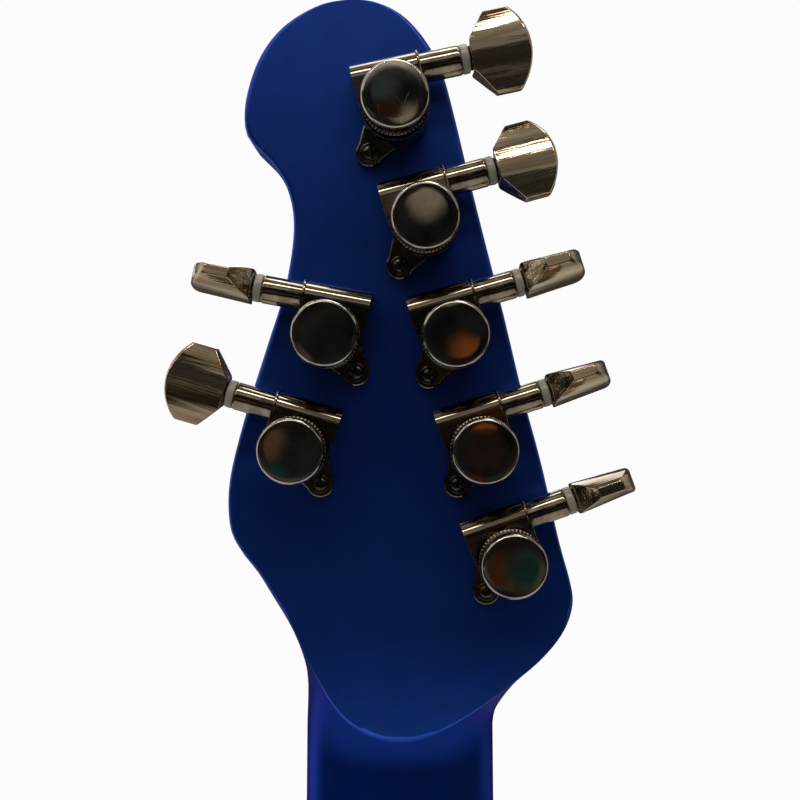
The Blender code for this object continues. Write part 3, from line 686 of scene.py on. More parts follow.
# Dim coloured things in the room behind the camera: direction (x, z) for y = 1, reach, colour
ROOM_PATCHES = (
    ((-0.070, -0.215), 0.060, (0.055, 0.022, 0.010)),
    ((-0.145, -0.205), 0.045, (0.010, 0.030, 0.024)),
    ((0.165, -0.045), 0.045, (0.095, 0.058, 0.034)),
    ((0.150, -0.125), 0.036, (0.008, 0.036, 0.034)),
    ((-0.080, 0.002), 0.040, (0.200, 0.060, 0.014)),
    ((-0.087, -0.075), 0.060, (0.018, 0.011, 0.009)),
    ((-0.030, 0.195), 0.050, (0.260, 0.220, 0.155)),
    ((0.025, 0.300), 0.040, (0.040, 0.052, 0.055)),
    ((0.020, 0.235), 0.030, (0.030, 0.013, 0.007)),
)


# Tones of the room by height, from straight down at 0 to straight up at 1
ROOM_TONES = (
    (0.0, (0.90, 0.86, 0.78)), (0.12, (0.50, 0.46, 0.40)), (0.24, (0.010, 0.009, 0.008)),
    (0.33, (0.012, 0.011, 0.010)), (0.385, (0.075, 0.068, 0.058)), (0.43, (0.014, 0.013, 0.012)),
    (0.50, (0.010, 0.010, 0.009)), (0.64, (0.014, 0.013, 0.012)), (0.70, (0.42, 0.39, 0.35)),
    (0.83, (0.32, 0.29, 0.24)), (0.92, (0.07, 0.055, 0.042)), (1.0, (0.35, 0.33, 0.29)),
)
WALL_TONES = (
    (0.0, (0.07, 0.06, 0.05)), (0.14, (0.12, 0.11, 0.10)),
    (0.26, (1.0, 0.95, 0.86)), (0.5, (1.0, 0.95, 0.86)),
)
SIDE_TONES = ((0.0, (0.55, 0.55, 0.55)), (0.42, (0.65, 0.65, 0.65)), (0.8, (1.2, 1.2, 1.2)))
WALL_SHARE = ((0.36, (1.0, 1.0, 1.0)), (0.56, (0.0, 0.0, 0.0)))
BACKDROP = (0.97, 0.97, 0.97, 1.0)


def build_world():
    """A pale backdrop. Surfaces are lit by a pale wall before the guitar and a dim room behind the camera."""
    world = bpy.data.worlds.new("studio")
    bpy.context.scene.world = world
    world.use_nodes = True
    world.node_tree.nodes.clear()
    sky = Nodes(world.node_tree)
    where = sky.new("ShaderNodeTexCoord", {}).outputs["Generated"]
    parts = sky.new("ShaderNodeSeparateXYZ", {0: where}).outputs

    def tones(axis, stops):
        return sky.ramp(sky.spread(parts[axis], -1.0, 1.0), stops, "EASE")

    def times(colour, value, low, high, start, end):
        """A colour made darker or lighter as a value goes from low to high."""
        return sky.vector("SCALE", {0: colour, "Scale": sky.spread(value, low, high, start, end)})["Vector"]

    clutter = sky.new("ShaderNodeTexNoise", {"Scale": 7.0, "Detail": 3.0, "Vector": where}).outputs
    room = times(tones("Z", ROOM_TONES), clutter["Fac"], 0.35, 0.65, 0.45, 1.6)
    room = times(room, parts["X"], -0.1, 0.5, 0.85, 1.9)
    wander = sky.vector("MULTIPLY_ADD", {0: clutter["Color"], 1: (0.06, 0.06, 0.06), 2: where})["Vector"]
    aim = sky.vector("SUBTRACT", {0: wander, 1: (0.03, 0.03, 0.03)})["Vector"]
    for (x, z), reach, colour in ROOM_PATCHES:
        gap = sky.vector("DISTANCE", {0: aim, 1: Vector((x, 1.0, z)).normalized()})["Value"]
        near = sky.spread(gap, 0.45 * reach, 1.3 * reach, 1.0, 0.0, "SMOOTHSTEP")
        room = sky.blend(near, room, (*colour, 1.0))
    wall = sky.blend(1.0, tones("Y", WALL_TONES), tones("X", SIDE_TONES), "MULTIPLY")
    around = sky.blend(tones("Y", WALL_SHARE), room, wall)
    lit = sky.new("ShaderNodeBackground", {"Color": around}).outputs[0]
    backdrop = sky.new("ShaderNodeBackground", {"Color": BACKDROP}).outputs[0]
    seen = sky.new("ShaderNodeLightPath", {}).outputs["Is Camera Ray"]
    choose = sky.new("ShaderNodeMixShader", {"Fac": seen, 1: lit, 2: backdrop}).outputs[0]
    sky.new("ShaderNodeOutputWorld", {"Surface": choose})


FLOOR_DROP = 0.05
FLOOR_RADIUS = 1.7


def build_stage():
    """A pale floor under the hanging guitar."""
    points = [(0.0, 0.0, 0.0)]
    faces = []
    steps = 64
    for ring in range(1, 5):
        for k in range(steps):
            turn = 2 * math.pi * k / steps
            reach = FLOOR_RADIUS * ring / 4
            points.append((reach * math.cos(turn), reach * math.sin(turn), 0.0))
    for k in range(steps):
        faces.append((0, 1 + k, 1 + (k + 1) % steps))
    for ring in range(3):
        for k in range(steps):
            a = 1 + ring * steps + k
            b = 1 + ring * steps + (k + 1) % steps
            faces.append((a, a + steps, b + steps, b))
    mesh = bpy.data.meshes.new("floor")
    mesh.from_pydata(points, [], faces)
    floor = stand("floor", mesh)
    floor.location = (0, 0, cad_low.z - FLOOR_DROP)
    paint = Paint("pale_floor", (0.82, 0.82, 0.82), 0.0, 0.7)
    paint.tint(paint.shade(paint.noise(3.0, 3.0), 0.3, 0.7, (0.80, 0.80, 0.80), (0.84, 0.84, 0.84)))
    paint.fade_out(0.5 * FLOOR_RADIUS, 0.98 * FLOOR_RADIUS)
    mesh.materials.append(paint.material)


def build_lights():
    head = (0.0, 0.02, 0.09)
    area_light("strip_high", (0.0, 0.90, 1.18), head, 1.6, 0.16, 7.5, (1.0, 0.95, 0.86))
    area_light("top_soft", (-0.1, -0.1, 1.9), head, 1.4, 0.5, 10.0, (1.0, 0.98, 0.95))
    area_light("front_soft", (0.5, -1.8, 0.9), (0.0, 0.0, -0.4), 1.5, 1.0, 9.0)


# ---------------------------------------------------------------- neck and headstock

TREBLE_EDGE = (
    (NUT_HALF, 0), (23.8, 12), (25.2, 22), (28.3, 31), (33.6, 40.8), (38.5, 47.4), (41.1, 53.5),
    (41.0, 64.5), (37.1, 80), (31.6, 97), (27.3, 110.5), (25.2, 124), (26.4, 133), (30.2, 139.5),
    (34.7, 144), (36.5, 148), (36.1, 155), (32.9, 164.0), (27.3, 171.0), (19.0, 175.8), (11.0, 177.0),
)
BASS_EDGE = (
    (-NUT_HALF, 0), (-25.2, 5), (-30.0, 12.5), (-36.6, 20.5), (-40.9, 27.5), (-42.1, 34), (-41.2, 40),
    (-38.4, 50), (-34.0, 68.5), (-29.3, 85.5), (-24.6, 104.5), (-19.1, 125.5), (-15.4, 140),
    (-12.8, 150.5), (-10.1, 160), (-6.4, 167.3), (-0.9, 173.4), (5.2, 176.4), (11.0, 177.0),
)
BACK_STEPS = 14
FLAT_STEPS = 6
TIP_STEPS = 30


def side_at(edge, z):
    """The x of a headstock side at a height."""
    for a, b in zip(edge, edge[1:]):
        if a[1] <= z <= b[1]:
            return a[0] + (b[0] - a[0]) * (z - a[1]) / max(b[1] - a[1], 1e-9)
    return edge[-1][0]


def spread_points(edge, count):
    """Evenly spaced points on an open run of plan points."""
    lengths = [math.dist(a, b) for a, b in zip(edge, edge[1:])]
    total = sum(lengths)
    result = []
    for k in range(count + 1):
        want = total * k / count
        i = 0
        while i < len(lengths) - 1 and want > lengths[i]:
            want -= lengths[i]
            i += 1
        t = want / lengths[i]
        result.append(tuple(a + (b - a) * t for a, b in zip(edge[i], edge[i + 1])))
    return result


def neck_half(z):
    """Half the neck's width, which grows evenly from the nut to the heel."""
    return NUT_HALF + (HEEL_HALF - NUT_HALF) * z / BOARD_END_Z


def ease_between(value, low, high):
    t = min(max((value - low) / (high - low), 0.0), 1.0)
    return t * t * (3 - 2 * t)


def neck_shape(z):
    """Depth of the back and its roundness at a height: squared at the heel, D-shaped above it."""
    along = min(max(z / FRET12_Z, 0.0), 1.0)
    depth = NECK_BACK_Y + (NECK_BACK_Y_FRET12 - NECK_BACK_Y) * along
    heel = ease_between(-z, *HEEL_BAND)
    depth += (HEEL_BACK_Y - depth) * heel
    if z > SCOOP_START_Z:
        depth += SCOOP_RATE * (z - SCOOP_START_Z) ** 2
    return depth, BACK_POWER + HEEL_POWER * heel


def half_section(half, depth, power, inner):
    """Back points from the side to the middle, with the headstock's flat back cutting in."""
    flat = HEAD_BACK_Y if inner else 1e9
    if depth > flat:
        corner = math.asin((flat / depth) ** (power / 2))
    else:
        corner = math.radians(90 - 30 * min((HEAD_BACK_Y - min(depth, HEAD_BACK_Y)) / 2.2, 1.0))
    points = []
    for k in range(BACK_STEPS + 1):
        turn = corner * (k / BACK_STEPS) ** 1.4
        across = half * math.cos(turn) ** (2 / power)
        points.append((across, min(depth * math.sin(turn) ** (2 / power), flat)))
    edge = points[-1][0]
    for k in range(1, FLAT_STEPS + 1):
        part = k / FLAT_STEPS
        if depth > flat:
            points.append((edge * (1 - part), flat))
        else:
            turn = corner + (math.pi / 2 - corner) * part
            across = half * math.cos(turn) ** (2 / power) if k < FLAT_STEPS else 0.0
            points.append((across, depth * math.sin(turn) ** (2 / power)))
    return points


def slab_half(half, front, edge):
    """Half of the headstock's own section, with both long edges rounded."""
    points = [(half, (front + HEAD_BACK_Y) / 2)]
    points += [(half - a, HEAD_BACK_Y - b) for a, b in quarter(edge, BACK_STEPS - 1)]
    rim = points[-1][0]
    for k in range(1, FLAT_STEPS + 1):
        points.append((rim * (1 - k / FLAT_STEPS), HEAD_BACK_Y))
    return points


def neck_section(right, left):
    """A closed section between a treble-side and a bass-side plan point."""
    mid = ((right[0] + left[0]) / 2, (right[1] + left[1]) / 2)
    z = mid[1]
    half = math.dist(right, left) / 2
    across = ((right[0] - left[0]) / (2 * half), (right[1] - left[1]) / (2 * half))
    front = HEAD_FRONT_Y * ease_between(z, 5.0, 14.0)
    depth, power = neck_shape(min(z, 60.0))
    round_half = half_section(half, depth, power, z > SCOOP_START_Z - 20)
    blend = ease_between(z, 12.0, 38.0)
    square = slab_half(half, front, min(HEAD_EDGE, half * 0.45))
    edge = 0.15 + (HEAD_EDGE - 0.15) * blend
    back = []
    for a, b in zip(round_half, square):
        back.append((a[0] * (1 - blend) + b[0] * blend, a[1] * (1 - blend) + b[1] * blend))
    back[0] = (half, max(back[0][1], front + edge))
    edge = min(edge, half * 0.45)
    nose = []
    for k in range(1, 6):
        turn = math.radians(90 * k / 6)
        nose.append((half - edge + edge * math.sin(turn), front + edge - edge * math.cos(turn)))
    face = [((half - edge) * t, front) for t in (0.0, 0.5, 1.0)]
    treble = face + nose + back
    bass = [(-a, y) for a, y in reversed(treble[1:-1])]
    return [(mid[0] + across[0] * a, y, mid[1] + across[1] * a) for a, y in treble + bass]


def steps_between(start, end, pitch):
    count = max(1, round(abs(end - start) / pitch))
    return [start + (end - start) * k / count for k in range(count)]


def build_neck():
    """Neck and headstock in one, lofted up the neck and then round the tip."""
    right_curve = smooth_curve(TREBLE_EDGE, 16, closed=False)
    left_curve = smooth_curve(BASS_EDGE, 16, closed=False)
    stations = []
    heights = steps_between(HEEL_END_Z, -426, 12) + steps_between(-426, -390, 1.5)
    heights += steps_between(-390, -14, 12) + steps_between(-14, 0, 0.7)
    for z in heights:
        stations.append(((neck_half(z), z), (-neck_half(z), z)))
    for z in steps_between(0, 14, 0.45) + steps_between(14, 40, 1.0) + steps_between(40, SIDES_MEET_Z, 2.0):
        stations.append(((side_at(right_curve, z), z), (side_at(left_curve, z), z)))
    tips = []
    for curve in (right_curve, left_curve):
        start = (side_at(curve, SIDES_MEET_Z), SIDES_MEET_Z)
        tips.append(spread_points([start] + [p for p in curve if p[1] > SIDES_MEET_Z], TIP_STEPS))
    stations += list(zip(*tips))[:-1]
    neck = piece(
        "neck_and_headstock", loft([neck_section(a, b) for a, b in stations]), NECK_BLUE_PAINTED_LIGHT,
    )
    holes = [drill(5.1, -20, 20, (x, 10, z), DEEP) for x, z, _, _ in BASS_TUNERS + TREBLE_TUNERS]
    cut(neck, holes)
    keep_flat(neck)
    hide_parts("neck")


# ---------------------------------------------------------------- tuners


class Tuner:
    """One machine head: its name, its place on the headstock and its own axes."""

    def __init__(self, side, label, number, x, z, angle, button_turn):
        turn = math.radians(angle)
        self.tag = f"{label}_{number}"
        self.mirror = -1.0 if side > 0 else 1.0
        self.out = Vector((side * math.cos(turn), 0, math.sin(turn)))
        self.worm = Vector((-side * math.sin(turn), 0, math.cos(turn)))
        self.base = Vector((x, HEAD_BACK_Y, z))
        self.button_turn = math.radians(button_turn)
        self.barrel = self.base + self.worm * WORM_OFFSET + DEEP * WORM_HEIGHT

    def place(self, at=None):
        """Local x outwards and z away from the headstock; y runs to the worm, or from it if mirrored."""
        place = Matrix((self.out, self.worm * self.mirror, DEEP)).transposed().to_4x4()
        place.translation = (self.base if at is None else at) * MM
        return place

    def local(self, shape):
        """The shape as it lies on this side of the headstock."""
        points, faces = shape
        return [(u, w * self.mirror, h) for u, w, h in points], faces


HOUSING_TOP = 10.6
HOUSING_SIDE = 11.5
HOUSING_RADIUS = 7.7
CREST = 3.7
CREST_STEPS = 10
PLATE_LIP = 0.35
EAR_TOP = 2.3


def housing_plan(worm_side):
    """The housing seen along the post: a half circle at one end, squared where the worm lies."""
    plan = arc((0.0, 0.0), HOUSING_RADIUS, 180, 180, 32)
    plan += [(7.3, 2.0), (6.9, 4.6), (6.9, worm_side), (-8.3, worm_side), (-8.2, 4.6), (-7.9, 2.0)]
    return plan


def build_housing(tuner):
    """The closed housing, rounded along its two upper edges."""
    levels = [(SEAT_GAP, HOUSING_SIDE), (HOUSING_TOP - CREST, HOUSING_SIDE)]
    levels += [(HOUSING_TOP - b, HOUSING_SIDE - a) for a, b in quarter(CREST, CREST_STEPS)[1:]]
    sections = [[(u, w, h) for u, w in housing_plan(side)] for h, side in levels]
    name = f"housing_{tuner.tag}"
    place = tuner.place()
    shell = piece(name, tuner.local(loft(sections)), HOUSING_METAL, place, 0.28, 3, 35.0)
    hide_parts(f"tuner_housing_{tuner.tag}")


def build_end_plate(tuner):
    """The thin lip round the end where the sleeve comes out."""
    reach = HOUSING_SIDE + PLATE_LIP
    top = HOUSING_TOP + PLATE_LIP
    outline = [(1.5, SEAT_GAP), (reach, SEAT_GAP), (reach, top - CREST)]
    outline += [(reach - a, top - b) for a, b in quarter(CREST, CREST_STEPS)[1:]]
    outline.append((1.5, top))
    piece(
        f"end_plate_{tuner.tag}", tuner.local(slab(outline, 6.75, 7.4, 0)),
        HOUSING_METAL, tuner.place(), 0.22, 3, 35.0,
    )


def build_tab(tuner):
    """The ear with its fixing screw."""
    centre = (-7.6, -7.2)
    plan = arc(centre, 3.3, 128, 194, 14)
    plan += [(-1.0, -7.3), (1.0, -2.0), (-4.0, 2.0), (-7.4, 0.0)]
    piece(
        f"ear_{tuner.tag}", tuner.local(slab(plan, SEAT_GAP, EAR_TOP, 2)), EAR_METAL_PAINTED_SHADE,
        tuner.place(), 0.4, 3,
    )
    at = tuner.base + tuner.out * centre[0] + tuner.worm * centre[1] + DEEP * EAR_TOP
    seat = [(1.45, -0.5), (2.2, -0.5), (2.2, 0.05), (2.0, 0.12), (1.45, 0.05)]
    turned(f"ear_seat_{tuner.tag}", seat, 40, at, DEEP, SCREW_METAL, "black_nickel", 0.08, True)
    screw(f"ear_screw_{tuner.tag}", 1.75, at - DEEP * 0.1, DEEP, tuner.button_turn * 3)


def screw(name, radius, at, axis, turn=0.0):
    """A cross-recessed pan head, modelled as a turned head with two tapered slots cut in."""
    rise = radius * 0.5
    profile = [(0.0, rise * 1.02), (radius * 0.45, rise), (radius * 0.8, rise * 0.72), (radius, rise * 0.25)]
    profile += [(radius, -0.3), (0.0, -0.3)]
    side = WIDE if abs(Vector(axis).dot(WIDE)) < 0.8 else TALL
    side = Matrix.Rotation(turn, 3, Vector(axis)) @ side
    place = axis_place(at, axis, side)
    head = spun(name, profile, 32, place, SCREW_METAL, "black_nickel", radius * 0.18, angle=30.0)
    tools = []
    for long_x in (True, False):
        length = radius * 0.62
        width = radius * 0.15
        sections = []
        for h, grow in ((-0.02, 0.55), (rise * 1.4, 1.0)):
            a, b = (length * grow, width) if long_x else (width, length * grow)
            sections.append([(a, b, h), (-a, b, h), (-a, -b, h), (a, -b, h)])
        tools.append(helper(loft(sections), place))
    cut(head, tools)


def build_tube(tuner):
    """The sleeve that carries the key's shaft, and the clear washer at its end."""
    place = axis_place(tuner.barrel, tuner.out, DEEP)
    sleeve = [(2.0, 6.0), (3.3, 6.0), (3.3, 16.3), (3.1, 16.7), (2.0, 16.7)]
    spun(f"sleeve_{tuner.tag}", sleeve, 64, place, HOUSING_METAL, "black_nickel", 0.25, True)
    ring = [(1.7, 16.75), (3.15, 16.75), (3.25, 17.2), (3.25, 18.2), (3.05, 18.6), (1.7, 18.6)]
    spun(f"washer_{tuner.tag}", ring, 64, place, WASHER, "black_nickel", 0.2, True)


def build_bushing(tuner):
    """The threaded barrel through the headstock, with its washer and hex nut on the playing side."""
    front = -(HEAD_BACK_Y - HEAD_FRONT_Y)
    place = tuner.place()
    barrel = [(3.25, 0.5), (4.9, 0.5), (4.9, front + 0.2), (4.5, front - 2.9), (3.25, front - 2.9)]
    spun(f"bushing_{tuner.tag}", barrel, 48, place, HOUSING_METAL, "black_nickel", 0.25, True)
    washer = [(4.95, -0.02), (7.2, -0.02), (7.2, -0.5), (6.9, -0.75), (4.95, -0.75)]
    washer = [(r, front + h) for r, h in washer]
    spun(f"front_washer_{tuner.tag}", washer, 64, place, HOUSING_METAL, "black_nickel", 0.2, True)
    hexagon = arc((0.0, 0.0), 5.9, 0, 300, 5)
    hole = arc((0.0, 0.0), 4.95, 0, 300, 5)
    low = front - 0.76
    high = front - 2.2
    points = [(x, y, low) for x, y in hexagon] + [(x, y, high) for x, y in hexagon]
    points += [(x, y, high) for x, y in hole] + [(x, y, low) for x, y in hole]
    faces = []
    for ring in range(4):
        for k in range(6):
            m = (k + 1) % 6
            a = ring * 6
            b = ((ring + 1) % 4) * 6
            faces.append((a + k, a + m, b + m, b + k))
    piece(f"front_nut_{tuner.tag}", (points, faces), HOUSING_METAL, place, 0.25, 2)


BUTTON_INNER_U = 19.0
BUTTON_END_U = 32.9
BUTTON_HALF = 9.25
BUTTON_RIM = 1.15
BUTTON_CREST = 3.75
BUTTON_THINNING = 0.9
SHOULDER_U = 23.5
END_CHAMFER = 0.5
NECK_HALF_W = 3.4
BUTTON_ARC = 13.4


def button_span(w):
    """Where the button starts and ends along the shaft, at a distance from the shaft's line."""
    slope = (SHOULDER_U - BUTTON_INNER_U) / (BUTTON_HALF - NECK_HALF_W)
    start = BUTTON_INNER_U + max(abs(w) - NECK_HALF_W, 0.0) * slope
    end = BUTTON_END_U - (BUTTON_ARC - math.sqrt(BUTTON_ARC**2 - w * w))
    return start, end


def button_rise(u, w):
    """Half the button's thickness: thinner outwards, crowned across, and thin along both long edges."""
    middle = BUTTON_CREST - BUTTON_THINNING * (u - BUTTON_INNER_U) / (BUTTON_END_U - BUTTON_INNER_U)
    return BUTTON_RIM + (middle - BUTTON_RIM) * (1 - (w / BUTTON_HALF) ** 2)


def build_key(tuner):
    """The shaft with its worm, and the six-sided button crowned on both faces."""
    across = 36
    along = 8
    sections = []
    for k in range(across + 1):
        w = -BUTTON_HALF + 2 * BUTTON_HALF * k / across
        start, end = button_span(w)
        run = [start + (end - END_CHAMFER - start) * j / along for j in range(along + 1)]
        upper = [(u, w, button_rise(u, w)) for u in run]
        upper.append((end, w, max(button_rise(end, w) - END_CHAMFER, 0.45)))
        section = upper + [(u, y, -h) for u, y, h in reversed(upper)]
        sections.append(section)
    place = axis_button(tuner)
    button = piece(
        f"button_{tuner.tag}", loft(sections), BUTTON_METAL, place, 0.22, 3, 24.0,
        body=f"key_{tuner.tag}",
    )
    shaft = [(0.0, -7.0), (2.0, -7.0), (2.0, 4.4), (1.5, 4.6), (1.5, 18.3), (2.7, 18.75)]
    shaft += [(2.9, 19.4), (0.0, 19.4)]
    turned(
        f"stem_{tuner.tag}", shaft, 40, tuner.barrel, tuner.out, SCREW_METAL, "black_nickel", 0.2,
        side=DEEP, body=f"key_{tuner.tag}",
    )
    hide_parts(f"tuner_key_{tuner.tag}")


def axis_button(tuner):
    """Local x along the shaft, local y across the button, local z through its thickness."""
    wide = tuner.worm * math.cos(tuner.button_turn) + DEEP * math.sin(tuner.button_turn)
    thick = tuner.out.cross(wide)
    place = Matrix((tuner.out, wide, thick)).transposed().to_4x4()
    place.translation = tuner.barrel * MM
    return place


def build_post(tuner):
    """The string post with its waist, cross hole and gear."""
    wrap = HEAD_BACK_Y - STRING_POST_Y
    profile = [
        (0.0, -26.5), (2.5, -26.5), (2.85, -26.1), (3.0, -wrap - 2.4), (POST_WAIST, -wrap - 1.6),
        (POST_WAIST, -wrap + 1.6), (3.0, -wrap + 2.4), (3.0, 5.0), (5.4, 5.0), (5.4, 8.4),
        (2.6, 8.4), (2.6, 14.0), (0.0, 14.0),
    ]
    name = f"post_{tuner.tag}"
    post = spun(name, profile, 48, tuner.place(), POST_METAL, "post_steel", 0.3, body=name)
    hole = drill(0.95, -8, 8, tuner.base - DEEP * wrap, tuner.worm, 20)
    cut(post, [hole], 40.0)
    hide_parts(f"tuner_post_{tuner.tag}")


KNURL_RADIUS = 7.3
KNURL_LOW = 13.7
KNURL_HIGH = 18.7
LOCK_TEETH = 54
TOOTH_DEPTH = 0.34
TOOTH_SHAPE = (0.0, 0.5, 1.0, 0.5)


def knurl(k, radius, height):
    """Straight teeth round the wheel's rim, between its plain edges."""
    if radius < KNURL_RADIUS or not KNURL_LOW < height < KNURL_HIGH:
        return 0.0
    return -TOOTH_DEPTH * TOOTH_SHAPE[k % 4]


def build_lock(tuner):
    """The thumbwheel: knurled rim, polished bevel and a mirror disc that is a touch crowned."""
    body = f"lock_{tuner.tag}"
    place = tuner.place()
    rim = [(3.0, 11.1), (6.3, 11.1), (6.4, 11.3), (6.4, 12.9), (6.9, 13.1), (7.5, 13.35), (7.5, 13.65)]
    rim += [(7.5, 13.75 + 0.82 * k) for k in range(7)]
    rim += [(7.5, 18.75), (7.5, 18.95), (7.42, 19.2), (7.25, 19.42), (6.6, 19.0), (3.0, 19.0)]
    wheel = spun(
        f"lock_wheel_{tuner.tag}", rim, LOCK_TEETH * len(TOOTH_SHAPE), place, KNURL_METAL,
        "lock_black_nickel", ring=True, wobble=knurl, angle=32.0, body=body,
    )
    disc = [(0.0, 19.88), (2.5, 19.873), (5.0, 19.85), (6.6, 19.82), (6.85, 19.80), (6.98, 19.74)]
    disc += [(7.15, 19.60), (7.28, 19.44), (7.32, 19.30), (7.1, 18.9), (0.0, 18.9)]
    paint = WORN_DISC_METAL if tuner.tag == "bass_5" else DISC_METAL
    spun(f"lock_disc_{tuner.tag}", disc, 128, place, paint, "lock_black_nickel", angle=50.0, body=body)
    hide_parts(f"lock_knob_{tuner.tag}")


TUNER_PARTS = (
    build_housing, build_end_plate, build_tab, build_tube, build_bushing, build_key, build_post, build_lock,
)


def build_tuners():
    for side, label, rows in ((-1, "bass", BASS_TUNERS), (1, "treble", TREBLE_TUNERS)):
        for number, row in enumerate(rows, 1):
            tuner = Tuner(side, label, number, *row)
            for build in TUNER_PARTS:
                build(tuner)


# ---------------------------------------------------------------- fretboard, nut and truss rod


def crown(x):
    """How far the playing surface falls away from the middle."""
    return x * x / (2 * BOARD_RADIUS)


def fret_z(number):
    return -SCALE_LENGTH * (1 - 2 ** (-number / 12.0))


def dress(node, paint):
    """Keeps a CAD node as it is and gives it a finish."""
    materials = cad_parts[node].data.materials
    materials.clear()
    materials.append(paint)


DOTS = (
    (3, 0), (5, 0), (7, 0), (9, 0), (12, -10.0), (12, 10.0), (15, 0), (17, 0), (19, 0), (21, 0),
    (24, -10.0), (24, 10.0),
)
DOT_RADIUS = 3.0
DOT_SIDES = 40


def build_fretboard():
    """The crowned board with its eased edges, its frets and its inlays."""
    edge = 0.5
    sections = []
    for z in steps_between(0.0, BOARD_END_Z, 8) + [BOARD_END_Z]:
        half = neck_half(z)
        half_run = [(half, -0.3), (half, -BOARD_THICK + crown(half) + edge)]
        for a, b in quarter(edge, 5)[1:]:
            half_run.append((half - a, -BOARD_THICK + crown(half - a) + b))
        for k in range(1, 10):
            x = (half - edge) * (1 - k / 10)
            half_run.append((x, -BOARD_THICK + crown(x)))
        middle = [(0.0, -BOARD_THICK)]
        run = half_run + middle + [(-x, y) for x, y in reversed(half_run)]
        sections.append([(x, y, z) for x, y in run])
    board = piece("fretboard_wood", loft(sections), ROSEWOOD)
    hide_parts("fretboard")
    for number in range(1, FRETS + 1):
        build_fret(number)
    for number, offset in DOTS:
        build_dot(number, offset)


def build_fret(number):
    """A crowned fret wire, bevelled down at both ends."""
    z = fret_z(number)
    half = neck_half(z)
    sections = []
    steps = 30
    for k in range(steps + 1):
        x = half * (1 - 2 * k / steps) * 0.998
        lift = FRET_HEIGHT * min(1.0, 0.25 + (half - abs(x)) / 1.1)
        run = []
        for j in range(11):
            turn = math.radians(18 * j)
            rise = lift * math.sin(turn) ** 0.8
            run.append((x, -BOARD_THICK + crown(x) - rise, z + FRET_HALF * math.cos(turn)))
        run += [(x, -BOARD_THICK + crown(x) + 0.5, z + reach) for reach in (-FRET_HALF, FRET_HALF)]
        sections.append(run)
    piece(f"fret_{number:02d}", loft(sections), FRET_METAL, angle=50.0)


def build_dot(number, offset):
    """A plain round inlay between two frets, dressed to the crown of the board."""
    z = (fret_z(number) + fret_z(number - 1)) / 2
    rows = ((DOT_RADIUS * 0.35, 0.0), (DOT_RADIUS * 0.7, 0.0), (DOT_RADIUS * 0.97, 0.0), (DOT_RADIUS, 0.03))
    rows += ((DOT_RADIUS, 1.5),)
    points = [(offset, -BOARD_THICK + crown(offset) - 0.03, z)]
    faces = []
    for radius, drop in rows:
        for k in range(DOT_SIDES):
            turn = math.radians(360 * k / DOT_SIDES)
            x = offset + radius * math.cos(turn)
            points.append((x, -BOARD_THICK + crown(x) - 0.03 + drop, z + radius * math.sin(turn)))
    for k in range(DOT_SIDES):
        m = (k + 1) % DOT_SIDES
        faces.append((0, 1 + k, 1 + m))
        for ring in range(len(rows) - 1):
            a = 1 + ring * DOT_SIDES
            faces.append((a + k, a + DOT_SIDES + k, a + DOT_SIDES + m, a + m))
    last = 1 + (len(rows) - 1) * DOT_SIDES
    faces.append(tuple(range(last, last + DOT_SIDES)))
    side = "" if not offset else ("_a" if offset < 0 else "_b")
    piece(f"dot_{number:02d}{side}", (points, faces), PEARL, angle=40.0)


# ---------------------------------------------------------------- strings


def string_x(number, at_bridge):
    return (number - 3) * (BRIDGE_PITCH if at_bridge else NUT_PITCH)


def string_nut_y(number):
    return NUT_REST_Y + crown(string_x(number, False)) - STRING_RADII[number]


def string_saddle_y(number):
    return SADDLE_REST_Y + crown(string_x(number, True)) - STRING_RADII[number]


def tube(path, radius, sides=12):
    """A round tube along a path, each section square to the path."""
    sections = []
    across = Vector((1, 0, 0))
    for i, here in enumerate(path):
        before = path[max(i - 1, 0)]
        after = path[min(i + 1, len(path) - 1)]
        along = (after - before).normalized()
        across = (across - along * across.dot(along)).normalized()
        other = along.cross(across)
        section = []
        for k in range(sides):
            turn = 2 * math.pi * k / sides
            section.append(here + (across * math.cos(turn) + other * math.sin(turn)) * radius)
        sections.append(section)
    return loft(sections)


def build_strings():
    posts = [(x, z, 1) for x, z, _, _ in BASS_TUNERS] + [(x, z, -1) for x, z, _, _ in TREBLE_TUNERS]
    for number, (radius, (px, pz, side)) in enumerate(zip(STRING_RADII, posts)):
        bx = string_x(number, True)
        nx = string_x(number, False)
        saddle_y = string_saddle_y(number)
        nut_y = string_nut_y(number)
        slope = (saddle_y - nut_y) / -SCALE_LENGTH
        behind = 5.0
        corners = [
            (bx, STRING_ANCHOR_Y, BRIDGE_WALL_Z - 2.5),
            (bx, STRING_ANCHOR_Y, BRIDGE_WALL_Z + 3.0),
            (bx, saddle_y - slope * -behind, -SCALE_LENGTH - behind),
            (nx, nut_y, 0.5),
            (nx, nut_y, 4.0),
        ]
        wrap = POST_WAIST + STRING_GAP + radius
        arc = []
        for k in range(33):
            turn = math.radians(-2 + 216 * k / 32)
            arc.append((px + side * wrap * math.cos(turn), STRING_POST_Y, pz + wrap * math.sin(turn)))
        path = [Vector(p) for p in eased(corners + [arc[0]], 1.2, 5)[:-1] + arc]
        wound = number < 4
        string = piece(
            f"string_{number + 1}_wire", tube(path, radius), WOUND if wound else PLAIN,
            angle=60.0,
        )
        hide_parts(f"string_{number + 1}")
        half = [(0.8, -1.3), (1.6, -1.5), (1.6, -1.1), (1.3, -0.6)]
        ball = half + [(r, -h) for r, h in reversed(half)]
        turned(
            f"ball_end_{number + 1}", ball, 28, (bx, STRING_ANCHOR_Y, BRIDGE_WALL_Z - 3.2), WIDE, BRASS,
            "string_nickel", 0.15, True, side=DEEP,
        )


